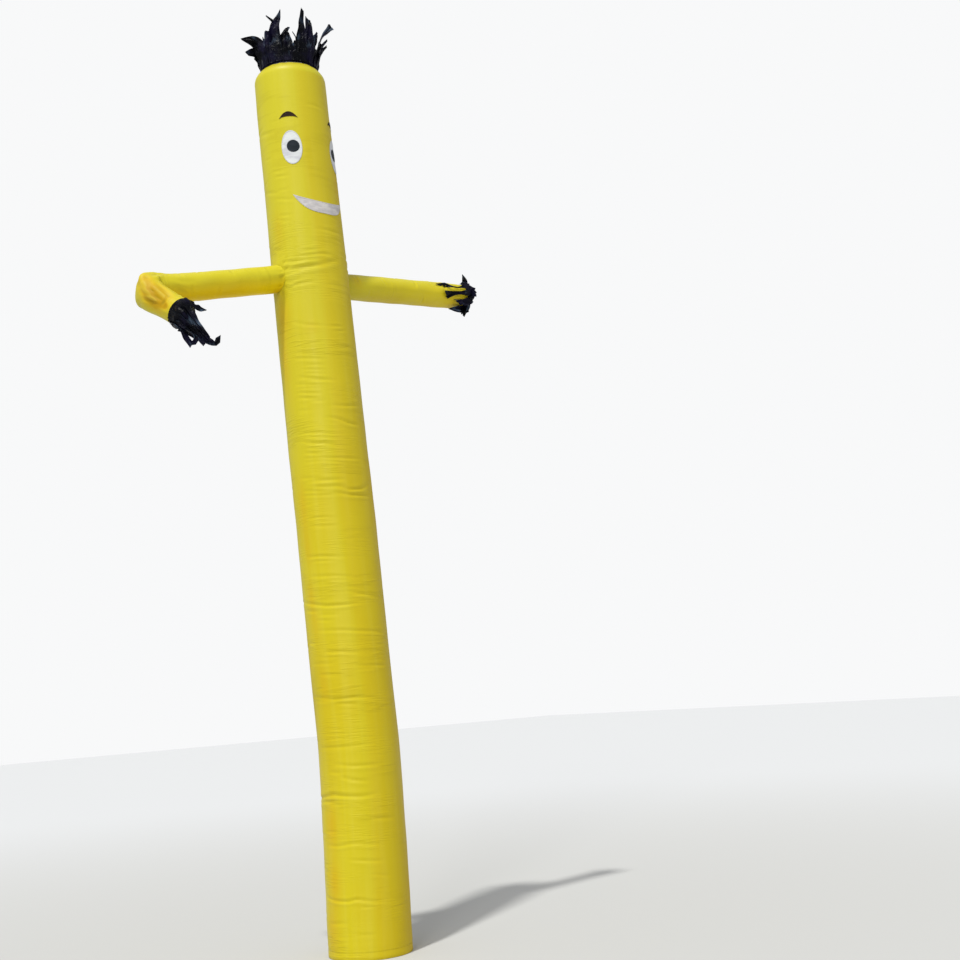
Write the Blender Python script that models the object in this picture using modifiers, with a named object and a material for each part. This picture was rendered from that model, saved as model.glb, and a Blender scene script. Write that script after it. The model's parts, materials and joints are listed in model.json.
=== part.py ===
"""Inflatable air dancer: a tall tube of thin nylon that a blower fills with air from below.

The dancer stands on the hem of its open base, on the plane z = 0, full of air and at rest. It faces
-Y. Its right arm reaches out along -X to a kinked elbow and its forearm hangs forward, and its left
arm reaches out along +X. Above a bend near its base the tube leans back and to its right.

"Round" is an angle about the tube, in degrees: 0 at the face, 90 at the dancer's left arm (+X),
180 at the back and -90 at its right arm (-X).
"""

import math
from collections import namedtuple

import bmesh
import bpy
from mathutils import Vector

# ---- Driving dimensions, in metres and degrees ----
BASE_CENTRE = (-0.056, -0.069, 0.0)  # the origin lies under the middle of the whole dancer
BASE_RADIUS = 0.2286  # the base fits over a round outlet 457 mm across
NECK_HEIGHT, NECK_RADIUS = 3.90, 0.2217
SHOULDER_HEIGHT, SHOULDER_RADIUS = 5.00, 0.208
DOME_RISE = 0.116
HEM_HEIGHT = 0.05

CLOTH = 0.002
HEM_CLOTH = 2 * CLOTH
PATCH = 0.001
GAP = 0.0003
PATCH_LIFT = 0.0005  # of a patch's back, as the flats between its columns dip
MERGE = 0.0002  # corners of a patch nearer than this become one

LEAN = math.tan(math.radians(2.8))  # sideways run for each metre of height above the bend
LEAN_ROUND = -126  # the side it leans towards
BEND_START, BEND_END = 0.84, 1.24

RIGHT_ARM_HEIGHT = 3.816  # the folded neck draws this arm's root up
LEFT_ARM_HEIGHT = 3.770
CUFF_RADIUS = 0.076
ROOT_REACH = 0.24  # of the cutter that fits the arms to the tube, above and below them
ELBOW_AT = Vector((-1.148, 0.131, 3.590))  # from the middle of the base
CUFF_RIGHT_AT = Vector((-1.065, -0.095, 3.430))
CUFF_LEFT_AT = Vector((1.210, 0.273, 3.932))

HAIR_RADIUS = 0.165
HAIR_BAND = 0.020
HAIR_START = -36  # where the first strip of the hair stands
HAIR_LIFT = 0.0012  # of its band off the dome
HAND_BAND = 0.018
HAND_BAND_LIFT = 0.0016  # off the cuff, as the band's flats dip between its corners

# ---- How finely round shapes are divided ----
TUBE_SIDES = 36
ARM_SIDES = 20
STATION_STEP = 0.42
FOLD_MARGIN = 0.084  # a plain station stands no nearer to a fold's
DOME_RINGS = 4
STRIP_STEPS = 4

# The main folds across the tube. "round" is the middle of a fold and "spread" half its width.
Crease = namedtuple("Crease", "height depth half_height round spread")
CREASES = (
    Crease(0.310, 0.005, 0.030, -65, 55),
    Crease(0.840, 0.014, 0.045, -115, 95),
    Crease(1.360, 0.006, 0.030, -60, 70),
    Crease(1.866, 0.007, 0.030, -85, 80),
    Crease(2.510, 0.007, 0.035, -30, 60),
    Crease(3.905, 0.012, 0.035, -25, 60),
)

# Sections of the right arm. "along" is measured from the elbow, minus towards the body; "up" and
# "side" are half sizes, and "outward" moves a section towards the outside of the bend.
ArmSection = namedtuple("ArmSection", "along up side outward")
RIGHT_ARM = (
    ArmSection(-1.050, 0.076, 0.076, 0.000),
    ArmSection(-0.620, 0.078, 0.078, 0.000),
    ArmSection(-0.350, 0.079, 0.079, 0.000),
    ArmSection(-0.170, 0.081, 0.080, 0.000),
    ArmSection(-0.080, 0.087, 0.077, 0.004),
    ArmSection(0.000, 0.104, 0.070, -0.017),
    ArmSection(0.080, 0.086, 0.077, 0.004),
    ArmSection(0.160, 0.079, 0.077, 0.000),
)
# Sections of the left arm, by their share of the way from the middle of the body to the cuff.
StraightSection = namedtuple("StraightSection", "share radius")
LEFT_ARM = (
    StraightSection(0.00, 0.078),
    StraightSection(0.35, 0.078),
    StraightSection(0.60, 0.079),
    StraightSection(0.82, 0.081),
    StraightSection(1.00, CUFF_RADIUS),
)

# One row for each strip of a fringe, in turn round its band. "lean" is how far its root leans
# outward from the band's axis, and "curl" how much further its tip does.
Strip = namedtuple("Strip", "length lean curl")
HAIR = (
    Strip(0.17, 2, 8),
    Strip(0.31, 2, 4),
    Strip(0.25, 2, 8),
    Strip(0.27, 18, 12),
    Strip(0.19, 8, 14),
    Strip(0.24, 6, 8),
    Strip(0.30, 2, 6),
    Strip(0.20, 2, 6),
    Strip(0.30, 4, 8),
    Strip(0.30, 4, 10),
    Strip(0.26, 20, 24),
    Strip(0.16, 28, 20),
    Strip(0.23, 22, 30),
    Strip(0.29, 3, 6),
    Strip(0.32, 0, 4),
)
HAND_RIGHT = (
    Strip(0.19, 2, 8),
    Strip(0.15, 4, 8),
    Strip(0.13, 4, 10),
    Strip(0.13, 2, 14),
    Strip(0.14, 0, 10),
    Strip(0.18, 2, 16),
    Strip(0.10, 6, 24),
    Strip(0.21, 0, 8),
)
HAND_LEFT = (
    Strip(0.10, 10, 60),
    Strip(0.09, 6, 24),
    Strip(0.085, 4, 24),
    Strip(0.08, 10, 40),
    Strip(0.08, 14, 60),
    Strip(0.10, 60, 80),
    Strip(0.08, 8, 20),
    Strip(0.13, 20, 60),
)
STRIP_SHARE = 0.84  # how much of its place round the band a strip fills
TIP_SHARE = 0.75  # how wide a strip's tip is against its root
HAND_RIGHT_FALL = 0.60  # how far gravity bends a fringe down, against its own stiffness
HAND_LEFT_FALL = 0.20
HAIR_FALL = 0.0

# ---- The face, with arcs in degrees to each side of its middle and heights above the floor ----
EYE_ROUND, EYE_HEIGHT = 43.4, 4.525
EYE_HALF_WIDTH, EYE_HALF_HEIGHT = 16.0, 0.1025
PUPIL_ROUND, PUPIL_HEIGHT, PUPIL_RADIUS = 41.0, 4.531, 0.0365
BROW_ROUND, BROW_HALF_WIDTH = 44.3, 15.0
BROW_ENDS, BROW_TOP, BROW_BOTTOM = 4.706, 4.745, 4.711
MOUTH_HALF_WIDTH = 49.0
MOUTH_ENDS, MOUTH_TOP, MOUTH_BOTTOM = 4.240, 4.198, 4.130
PATCH_COLUMNS = 14  # at least, and more on a wide patch
PATCH_COLUMN_ARC = 4.5  # the widest, in degrees, so that a patch's back clears the tube

YELLOW_NYLON = ("yellow_nylon", (0.68, 0.57, 0.05), 0.42)
BLACK_NYLON = ("black_nylon", (0.012, 0.011, 0.018), 0.30)
WHITE_NYLON = ("white_nylon", (0.78, 0.77, 0.78), 0.45)
DARK_PATCH = ("dark_patch", (0.02, 0.022, 0.03), 0.50)

UP = Vector((0, 0, 1))


# ---- Scene, materials and objects ----
def clear_scene():
    for thing in list(bpy.data.objects):
        bpy.data.objects.remove(thing, do_unlink=True)


def collection(name):
    made = bpy.data.collections.new(name)
    bpy.context.scene.collection.children.link(made)
    return made


def material(name, colour, roughness):
    made = bpy.data.materials.get(name)
    if made is None:
        made = bpy.data.materials.new(name)
        made.use_nodes = True
        shader = made.node_tree.nodes["Principled BSDF"]
        shader.inputs["Base Color"].default_value = (*colour, 1)
        shader.inputs["Roughness"].default_value = roughness
        shader.inputs["Metallic"].default_value = 0
        made.diffuse_color = (*colour, 1)
    return made


def add_object(name, shape, group, base, finish=None):
    """A named object for a bmesh, standing on the middle of the dancer's base."""
    mesh = bpy.data.meshes.new(name)
    shape.to_mesh(mesh)
    shape.free()
    made = bpy.data.objects.new(name, mesh)
    group.objects.link(made)
    made.parent = base
    if finish:
        mesh.materials.append(material(*finish))
        mesh.shade_smooth()
        mesh.set_sharp_from_angle(angle=math.radians(40))
    else:
        made.hide_render = True
        made.display_type = "WIRE"
    return made


def thicken(piece, thickness):
    """Gives an open surface its thickness, outward."""
    shell = piece.modifiers.new("thickness", "SOLIDIFY")
    shell.thickness = thickness
    shell.offset = 1
    shell.use_even_offset = True


def cut(piece, cutter):
    hole = piece.modifiers.new("cut", "BOOLEAN")
    hole.operation = "DIFFERENCE"
    hole.solver = "EXACT"
    hole.object = cutter


def skin(rings, loop=False, cap=False):
    """A bmesh with a face between each two neighbours of each two rings. A ring of one point is a
    pole, loop joins the last ring to the first, and cap closes both ends with one face each."""
    shape = bmesh.new()
    rows = [[shape.verts.new(point) for point in ring] for ring in rings]
    pairs = list(zip(rows, rows[1:] + rows[:1]))
    for low, high in pairs if loop else pairs[:-1]:
        for k in range(max(len(low), len(high))):
            if len(low) == len(high) == 1:
                continue
            edges = ((low, k), (low, k + 1), (high, k + 1), (high, k))
            corners = [row[place % len(row)] for row, place in edges]
            shape.faces.new(list(dict.fromkeys(corners)))
    if cap:
        shape.faces.new(rows[0])
        shape.faces.new(rows[-1])
    bmesh.ops.recalc_face_normals(shape, faces=shape.faces)
    return shape


# ---- The tube's form ----
def tube_centre(height):
    """The middle of the tube at a height: upright below the bend, leaning above it."""
    bend = BEND_END - BEND_START
    share = min(max((height - BEND_START) / bend, 0), 1)
    run = LEAN * (bend * share * share / 2 + max(height - BEND_END, 0))
    return outward(LEAN_ROUND) * run + UP * height


def tube_radius(height):
    """The tube narrows a little up to the neck and more up to the shoulder."""
    if height < NECK_HEIGHT:
        return BASE_RADIUS + (NECK_RADIUS - BASE_RADIUS) * height / NECK_HEIGHT
    share = (height - NECK_HEIGHT) / (SHOULDER_HEIGHT - NECK_HEIGHT)
    return NECK_RADIUS + (SHOULDER_RADIUS - NECK_RADIUS) * share


def outward(angle):
    """The level direction that points out of the tube at an angle round it."""
    return Vector((math.sin(math.radians(angle)), -math.cos(math.radians(angle)), 0))


def fold_depth(height, angle):
    """How far the folds draw the cloth in at a place on the tube."""
    depth = 0
    for crease in CREASES:
        across = abs(height - crease.height) / crease.half_height
        along = abs((angle - crease.round + 180) % 360 - 180) / crease.spread
        if across < 1 and along < 1:
            depth += crease.depth * (1 - across) * (1 + math.cos(math.pi * along)) / 2
    return depth


def tube_ring(height, inset=0.0):
    """The tube's section at a height, inset below its outer surface."""
    ring = []
    for k in range(TUBE_SIDES):
        angle = 360 * k / TUBE_SIDES
        radius = tube_radius(height) - fold_depth(height, angle) - inset
        ring.append(tube_centre(height) + outward(angle) * radius)
    return ring


def tube_heights(bottom, top):
    """Even stations, and three at each fold."""
    count = round((top - bottom) / STATION_STEP)
    folds = [c.height + side * c.half_height for c in CREASES for side in (-1, 0, 1)]
    even = [bottom + (top - bottom) * k / count for k in range(1, count)]
    kept = [h for h in even if all(abs(h - fold) > FOLD_MARGIN for fold in folds)]
    return [bottom] + sorted(kept + [h for h in folds if bottom < h < top]) + [top]


def dome_height(radius, inset=0.0):
    """How high the dome stands above the shoulder at a distance from its middle."""
    share = radius / (SHOULDER_RADIUS - inset)
    return (DOME_RISE - inset) * math.sqrt(1 - share * share)


def dome_rings(inset):
    """The dome's rings, one of them under the hair, and its pole."""
    middle = tube_centre(SHOULDER_HEIGHT)
    edge = SHOULDER_RADIUS - inset
    radii = [edge * math.cos(math.pi / 2 * k / DOME_RINGS) for k in range(1, DOME_RINGS)]
    ways = [outward(360 * k / TUBE_SIDES) for k in range(TUBE_SIDES)]
    rings = []
    for radius in sorted(radii + [HAIR_RADIUS], reverse=True):
        level = middle + UP * dome_height(radius, inset)
        rings.append([level + way * radius for way in ways])
    return rings + [[middle + UP * (DOME_RISE - inset)]]


def tube_core(bottom, top, grow):
    """A solid that fills the tube between two heights and stands grow proud of its surface."""
    heights = [h for h in tube_heights(0, SHOULDER_HEIGHT) if bottom < h < top]
    return skin([tube_ring(h, -grow) for h in [bottom, *heights, top]], cap=True)


def body_tube():
    """The cloth of the tube: its outside up to the pole of the head, and its inside back down to
    the double cloth of the hem."""
    heights = tube_heights(HEM_HEIGHT + HEM_CLOTH, SHOULDER_HEIGHT)
    outside = [tube_ring(h) for h in [0, *heights]]
    inside = [tube_ring(h, CLOTH) for h in reversed(heights)]
    hem = [tube_ring(h, HEM_CLOTH) for h in (HEM_HEIGHT, 0)]
    return skin(outside + dome_rings(0) + dome_rings(CLOTH)[::-1] + inside + hem, loop=True)


# ---- Arms ----
def section(middle, way, bend_axis, up, side, outward_shift=0.0):
    """An oval ring square to a way, with its half sizes along the bend's axis and across it."""
    across = way.cross(bend_axis).normalized()
    upright = across.cross(way).normalized()
    middle = middle + across * outward_shift
    turns = [2 * math.pi * k / ARM_SIDES for k in range(ARM_SIDES)]
    return [middle + across * side * math.cos(t) + upright * up * math.sin(t) for t in turns]


def right_arm_rings(inset=0.0):
    """Along the upper arm, round the elbow's kink and down the forearm to the cuff."""
    shoulder = tube_centre(RIGHT_ARM_HEIGHT)
    upper = (ELBOW_AT - shoulder).normalized()
    fore = (CUFF_RIGHT_AT - ELBOW_AT).normalized()
    bend_axis = upper.cross(fore).normalized()
    cuff = ArmSection((CUFF_RIGHT_AT - ELBOW_AT).length, CUFF_RADIUS, CUFF_RADIUS, 0)
    rings = []
    for row in (*RIGHT_ARM, cuff):
        way = upper if row.along < 0 else fore if row.along > 0 else (upper + fore).normalized()
        middle = ELBOW_AT + (upper if row.along < 0 else fore) * row.along
        rings.append(section(middle, way, bend_axis, row.up - inset, row.side - inset, row.outward))
    return rings


def left_arm_rings(inset=0.0):
    shoulder = tube_centre(LEFT_ARM_HEIGHT)
    reach = CUFF_LEFT_AT - shoulder
    way = reach.normalized()
    rings = []
    for row in LEFT_ARM:
        half = row.radius - inset
        rings.append(section(shoulder + reach * row.share, way, UP, half, half))
    return rings


def arm_cloth(rings):
    """The cloth between an arm's outside and its inside, open at both ends."""
    return skin(rings() + rings(CLOTH)[::-1], loop=True)


# ---- Fringes ----
def fringe(centre, axis, upright, radius, band, strips, fall):
    """A comb: a round band about an axis, and strips that rise from its rim. The first strip lies
    on the upright side, and fall is how far gravity bends the strips down."""
    upright = (upright - axis * upright.dot(axis)).normalized()
    across = axis.cross(upright)
    pitch = 2 * math.pi / len(strips)
    shape = bmesh.new()
    columns = []
    for k, strip in enumerate(strips):
        middle = k * pitch
        root = []
        for side in (-1, 0, 1):
            turn = middle + side * pitch * STRIP_SHARE / 2
            point = centre + (upright * math.cos(turn) + across * math.sin(turn)) * radius
            root.append([shape.verts.new(point), shape.verts.new(point + axis * band)])
        columns += root
        out = upright * math.cos(middle) + across * math.sin(middle)
        add_strip(shape, [column[1] for column in root], axis, out, strip, fall)
    for here, there in zip(columns, columns[1:] + columns[:1]):
        shape.faces.new((here[0], there[0], there[1], here[1]))
    bmesh.ops.recalc_face_normals(shape, faces=shape.faces)
    if sum((f.normal.dot(f.calc_center_median() - centre) for f in shape.faces), 0.0) < 0:
        bmesh.ops.reverse_faces(shape, faces=shape.faces)
    return shape


def add_strip(shape, root, axis, out, strip, fall):
    """One strip of the comb, from the three points of its root."""
    middle = root[1].co.copy()
    half = [point.co - middle for point in root]
    row = root
    for step in range(1, STRIP_STEPS + 1):
        share = (step - 0.5) / STRIP_STEPS
        lean = math.radians(strip.lean + strip.curl * share)
        way = axis * math.cos(lean) + out * math.sin(lean) - UP * fall * share
        middle = middle + way.normalized() * strip.length / STRIP_STEPS
        width = 1 - (1 - TIP_SHARE) * step / STRIP_STEPS
        nxt = [shape.verts.new(middle + offset * width) for offset in half]
        for k in (0, 1):
            shape.faces.new((row[k], row[k + 1], nxt[k + 1], nxt[k]))
        row = nxt


# ---- Patches on the face ----
def patch(middle, half_width, top, bottom, lift):
    """A patch that follows the tube. top and bottom give its edges' heights for a place from -1 to
    1 across it, and lift is how far its back stands off the tube."""
    shape = bmesh.new()
    rows = []
    columns = max(PATCH_COLUMNS, math.ceil(half_width * math.pi / PATCH_COLUMN_ARC))
    for k in range(columns + 1):
        place = -math.cos(math.pi * k / columns)
        pair = []
        for height in (bottom(place), top(place)):
            way = outward(middle + half_width * place)
            point = tube_centre(height) + way * (tube_radius(height) + lift)
            pair.append(shape.verts.new(point))
        rows.append(pair)
    for here, there in zip(rows, rows[1:]):
        shape.faces.new((here[0], there[0], there[1], here[1]))
    bmesh.ops.remove_doubles(shape, verts=shape.verts, dist=MERGE)
    return shape


def oval(height, half_height):
    """The top and bottom edges of an oval patch."""
    return (
        lambda place: height + half_height * math.sqrt(max(1 - place * place, 0)),
        lambda place: height - half_height * math.sqrt(max(1 - place * place, 0)),
    )


def crescent(ends, top, bottom):
    """The top and bottom edges of a patch that runs to a point at both ends."""
    return (
        lambda place: ends + (top - ends) * (1 - place * place),
        lambda place: ends + (bottom - ends) * (1 - abs(place) ** 3),
    )


def add_patch(name, middle, half_width, edges, lift, finish, parts, base):
    shape = patch(middle, half_width, *edges, lift)
    thicken(add_object(name, shape, parts, base, finish), PATCH)


def add_face(parts, base):
    eye = oval(EYE_HEIGHT, EYE_HALF_HEIGHT)
    pupil = oval(PUPIL_HEIGHT, PUPIL_RADIUS)
    pupil_arc = math.degrees(PUPIL_RADIUS / tube_radius(PUPIL_HEIGHT))
    on_eye = PATCH_LIFT + PATCH + PATCH_LIFT
    brow = crescent(BROW_ENDS, BROW_TOP, BROW_BOTTOM)
    smile = crescent(MOUTH_ENDS, MOUTH_TOP, MOUTH_BOTTOM)
    for name, way in (("right", -1), ("left", 1)):
        eye_at, pupil_at, brow_at = way * EYE_ROUND, way * PUPIL_ROUND, way * BROW_ROUND
        add_patch(f"eye_white_{name}", eye_at, EYE_HALF_WIDTH, eye, PATCH_LIFT, WHITE_NYLON, parts, base)
        add_patch(f"pupil_{name}", pupil_at, pupil_arc, pupil, on_eye, DARK_PATCH, parts, base)
        add_patch(f"brow_{name}", brow_at, BROW_HALF_WIDTH, brow, PATCH_LIFT, DARK_PATCH, parts, base)
    add_patch("mouth", 0, MOUTH_HALF_WIDTH, smile, PATCH_LIFT, WHITE_NYLON, parts, base)


# ---- The whole dancer ----
def add_arm(name, rings, parts, cutters, base, body, core):
    """An arm that meets the tube's surface, and the round hole for it in the tube."""
    arm = add_object(name, arm_cloth(rings), parts, base, YELLOW_NYLON)
    cut(arm, core)
    way_through = add_object(f"{name}_hole", skin(rings(CLOTH)[:2], cap=True), cutters, base)
    cut(body, way_through)


def add_hand(name, cuff, elbow, strips, fall, parts, base):
    """The fringe whose band is sewn round the end of an arm."""
    axis = (cuff - elbow).normalized()
    radius = CUFF_RADIUS + HAND_BAND_LIFT
    shape = fringe(cuff - axis * HAND_BAND / 2, axis, UP, radius, HAND_BAND, strips, fall)
    thicken(add_object(name, shape, parts, base, BLACK_NYLON), CLOTH)


def build():
    clear_scene()
    parts, cutters = collection("air_dancer"), collection("cutters")
    base = bpy.data.objects.new("base_centre", None)
    base.location = BASE_CENTRE
    parts.objects.link(base)

    body = add_object("body_tube", body_tube(), parts, base, YELLOW_NYLON)
    core = tube_core(LEFT_ARM_HEIGHT - ROOT_REACH, RIGHT_ARM_HEIGHT + ROOT_REACH, GAP)
    core = add_object("arm_root_core", core, cutters, base)
    add_arm("arm_right", right_arm_rings, parts, cutters, base, body, core)
    add_arm("arm_left", left_arm_rings, parts, cutters, base, body, core)

    left_root = tube_centre(LEFT_ARM_HEIGHT)
    hands = (
        ("hand_fringe_right", CUFF_RIGHT_AT, ELBOW_AT, HAND_RIGHT, HAND_RIGHT_FALL),
        ("hand_fringe_left", CUFF_LEFT_AT, left_root, HAND_LEFT, HAND_LEFT_FALL),
    )
    for hand in hands:
        add_hand(*hand, parts, base)

    crown = tube_centre(SHOULDER_HEIGHT) + UP * (dome_height(HAIR_RADIUS) + HAIR_LIFT)
    hair = fringe(crown, UP, outward(HAIR_START), HAIR_RADIUS, HAIR_BAND, HAIR, HAIR_FALL)
    thicken(add_object("hair", hair, parts, base, BLACK_NYLON), CLOTH)
    add_face(parts, base)
    bpy.context.view_layer.update()


build()
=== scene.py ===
# %% [markdown]
# # An inflatable air dancer
# The real dancer is a tall sock of thin yellow nylon. A blower under its open foot fills it with air,
# which holds it up, rounds it out and pulls its cloth tight between the folds. Two arms of the same
# cloth end in fringes of black nylon, a third fringe stands on the head, and the face is sewn on.
# This notebook builds it piece by piece on a measured frame. First it loads the frame, which gives
# the place and the size of every piece.

# %% Load the frame
import json
import math

import bpy
import numpy as np
from mathutils import Matrix, Vector

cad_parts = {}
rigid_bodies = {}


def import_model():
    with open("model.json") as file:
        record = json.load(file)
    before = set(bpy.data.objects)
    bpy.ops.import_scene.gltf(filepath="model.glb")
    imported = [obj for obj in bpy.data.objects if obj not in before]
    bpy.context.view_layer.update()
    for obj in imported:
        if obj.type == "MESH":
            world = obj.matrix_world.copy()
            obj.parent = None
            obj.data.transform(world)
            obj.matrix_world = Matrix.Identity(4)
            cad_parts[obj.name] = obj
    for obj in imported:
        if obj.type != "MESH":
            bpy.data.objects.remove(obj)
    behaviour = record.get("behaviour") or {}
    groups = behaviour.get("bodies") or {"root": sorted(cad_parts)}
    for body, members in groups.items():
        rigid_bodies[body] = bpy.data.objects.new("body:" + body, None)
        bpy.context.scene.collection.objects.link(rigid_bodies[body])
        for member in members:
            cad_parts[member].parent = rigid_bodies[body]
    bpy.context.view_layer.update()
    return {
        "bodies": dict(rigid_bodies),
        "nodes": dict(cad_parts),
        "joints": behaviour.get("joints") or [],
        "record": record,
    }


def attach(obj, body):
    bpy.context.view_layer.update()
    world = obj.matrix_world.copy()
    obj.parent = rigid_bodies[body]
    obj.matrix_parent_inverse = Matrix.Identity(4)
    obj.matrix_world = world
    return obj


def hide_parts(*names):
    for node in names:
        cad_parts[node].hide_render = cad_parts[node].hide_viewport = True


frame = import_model()
bpy.ops.object.select_all(action="DESELECT")

# %% [markdown]
# ## Directions round the tube
# Everything on the dancer is placed by an angle round its tube and a height above the floor. The
# angle is 0 at the face, 90 at the dancer's left arm, 180 at the back and -90 at its right arm.
# Arrays of angles give arrays of directions, so a whole cloth is placed in one go.

# %% Directions
BASE_CENTRE = np.array((-0.056, -0.069, 0.0))
UP = np.array((0.0, 0.0, 1.0))


def outward(angle):
    """The level direction that points out of the tube at an angle round it, in degrees."""
    turn = np.radians(angle)
    return np.stack([np.sin(turn), -np.cos(turn), np.zeros_like(turn)], axis=-1)


print("the right arm points along", outward(-90.0).round(2))

# %% [markdown]
# ## The camera
# The dancer is seen from below the height of its arms, from the front and a little to its right, and
# the camera is tilted, so the tube leans across the view. A camera has no pivot here: its turn is
# the product of its heading, its pitch and its roll, in that order.

# %% Camera
CAMERA_ROUND, CAMERA_AWAY, CAMERA_HEIGHT = -36.0, 7.7215, 1.3614
HEADING, PITCH, ROLL = 41.73, 8.77, 4.05
bpy.ops.object.camera_add(location=BASE_CENTRE + outward(CAMERA_ROUND) * CAMERA_AWAY + UP * CAMERA_HEIGHT)
camera = bpy.context.object
camera.name = "camera"
turn = Matrix.Rotation(-math.radians(HEADING), 3, "Z")
turn = turn @ Matrix.Rotation(math.radians(90 + PITCH), 3, "X")
camera.rotation_euler = (turn @ Matrix.Rotation(-math.radians(ROLL), 3, "Z")).to_euler()
camera.data.lens, camera.data.sensor_width = 51.05, 36
camera.data.clip_end = 200
bpy.context.scene.camera = camera
print("camera", round(camera.data.lens, 1), "mm at", [round(c, 2) for c in camera.location])

# %% [markdown]
# ## Studio light
# The cloth is thin and bright, and its folds show best under one high lamp with pale light all round.
# A sun lamp is the high lamp, and it throws the shadow of the arm down the tube. A lower one beside it
# draws the long satin highlight up the tube. The room is plain. Its backdrop is white, as in a studio
# where the backdrop has its own lamps, and what it sends to the dancer is dimmer. The standard view
# transform keeps the yellow as bright as it is.

# %% Lights and world
scene = bpy.context.scene
scene.view_settings.view_transform = "Standard"
world = bpy.data.worlds.new("pale_room")
world.use_nodes = True
room = world.node_tree
glow, backdrop = room.nodes["Background"], room.nodes.new("ShaderNodeBackground")
for light, colour, strength in ((glow, (0.96, 0.98, 1.0, 1), 0.58), (backdrop, (0.99, 0.995, 1.0, 1), 0.95)):
    light.inputs["Color"].default_value = colour
    light.inputs["Strength"].default_value = strength
seen, choice = room.nodes.new("ShaderNodeLightPath"), room.nodes.new("ShaderNodeMixShader")
room.links.new(seen.outputs["Is Camera Ray"], choice.inputs[0])
room.links.new(glow.outputs[0], choice.inputs[1])
room.links.new(backdrop.outputs[0], choice.inputs[2])
room.links.new(choice.outputs[0], room.nodes["World Output"].inputs["Surface"])
scene.world = world


def add_sun(name, angle, elevation, strength, disc, colour):
    """A sun lamp that shines from an angle round the dancer and an elevation above the floor."""
    rise = math.radians(elevation)
    towards = outward(angle) * math.cos(rise) + UP * math.sin(rise)
    bpy.ops.object.light_add(type="SUN", location=towards * 12)
    sun = bpy.context.object
    sun.name = name
    sun.rotation_euler = Vector(towards).to_track_quat("Z", "Y").to_euler()
    sun.data.energy, sun.data.angle, sun.data.color = strength, math.radians(disc), colour
    return sun


add_sun("high_lamp", -68.0, 66, 2.70, 3, (1.0, 0.995, 0.95))
add_sun("low_lamp", -52.0, 18, 0.92, 14, (1.0, 1.0, 0.97))
print("two sun lamps and a pale world")

# %% [markdown]
# ## Writing materials
# A material is a graph of nodes. Two small classes make such a graph readable: a `Wire` is the output
# of a node, and sums with wires add Math nodes, and a `Finish` is a material with one method that adds
# any other node. Masks are then written as they would be on paper, such as `1 - mask`.

# %% Wires and finishes


class Wire:
    """The output of a node. A sum with it adds Math nodes to its finish."""

    def __init__(self, finish, socket):
        self.finish, self.socket = finish, socket

    def maths(self, operation, *values):
        return self.finish.node("ShaderNodeMath", dict(enumerate(values)), operation=operation)

    def __add__(self, other):
        return self.maths("ADD", self, other)

    def __sub__(self, other):
        return self.maths("SUBTRACT", self, other)

    def __rsub__(self, other):
        return self.maths("SUBTRACT", other, self)

    def __mul__(self, other):
        return self.maths("MULTIPLY", self, other)

    def __pow__(self, other):
        return self.maths("POWER", self, other)

    def __abs__(self):
        return self.maths("ABSOLUTE", self)

    __radd__, __rmul__ = __add__, __mul__

    def near(self, middle, reach):
        """1 where this wire is within reach of middle, and 0 elsewhere."""
        return self.maths("COMPARE", self, middle, reach)

    def between(self, low, high):
        """0 below low, 1 above high and a smooth step between them."""
        inputs = {"Value": self, "From Min": low, "From Max": high}
        return self.finish.node("ShaderNodeMapRange", inputs, interpolation_type="SMOOTHSTEP")


class Finish:
    """A material with one Principled shader, whose constant values are set on its own sockets."""

    def __init__(self, name, **values):
        self.material = bpy.data.materials.new(name)
        self.material.use_nodes = True
        self.tree = self.material.node_tree
        self.shader = self.tree.nodes["Principled BSDF"]
        for socket, value in values.items():
            self.shader.inputs[socket.replace("_", " ")].default_value = value

    def node(self, kind, inputs=(), output=0, **settings):
        """Adds a node, sets it and links it, and gives one of its outputs."""
        made = self.tree.nodes.new(kind)
        for setting, value in settings.items():
            setattr(made, setting, value)
        for socket, value in dict(inputs).items():
            self.link(made.inputs[socket], value)
        return Wire(self, made.outputs[output])

    def link(self, socket, value):
        if isinstance(value, Wire):
            self.tree.links.new(value.socket, socket)
        else:
            socket.default_value = value

    def flat_map(self):
        """Where a place lay on the cut cloth, in metres."""
        return self.node("ShaderNodeUVMap", output="UV", uv_map="cloth")

    def place(self):
        """Where a place is on the dancer, in metres."""
        return self.node("ShaderNodeTexCoord", output="Object")

    def mark(self, name):
        """A mark that the corners of the mesh carry."""
        return self.node("ShaderNodeAttribute", output="Fac", attribute_name=name)

    def part(self, vector, axis):
        return self.node("ShaderNodeSeparateXYZ", {"Vector": vector}, output=axis)

    def mix(self, share, first, second):
        """A colour between two others."""
        sockets = {"Factor": share, 6: first, 7: second}
        return self.node("ShaderNodeMix", sockets, output=2, data_type="RGBA")

    def noise(self, place, scale, detail=3.0, stretch=(1, 1, 1)):
        """Noise that can be stretched, from about 0.25 to 0.75."""
        place = self.node("ShaderNodeMapping", {"Vector": place, "Scale": stretch})
        return self.node("ShaderNodeTexNoise", {"Vector": place, "Scale": scale, "Detail": detail})

    def bands(self, place, period, direction):
        """Soft stripes from 0 to 1, one each period along a direction."""
        inputs = {"Vector": place, "Scale": 2 * math.pi / 20 / period}
        return self.node("ShaderNodeTexWave", inputs, output=1, bands_direction=direction)

    def bump(self, height, distance, under=None):
        """A normal bent by a height, on top of another such normal."""
        inputs = {"Height": height, "Distance": distance, "Strength": 1.0}
        if under:
            inputs["Normal"] = under
        return self.node("ShaderNodeBump", inputs)

    def show(self, **wires):
        """Links wires to the shader's sockets."""
        for socket, wire in wires.items():
            self.link(self.shader.inputs[socket.replace("_", " ")], wire)
        return self.material


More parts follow.
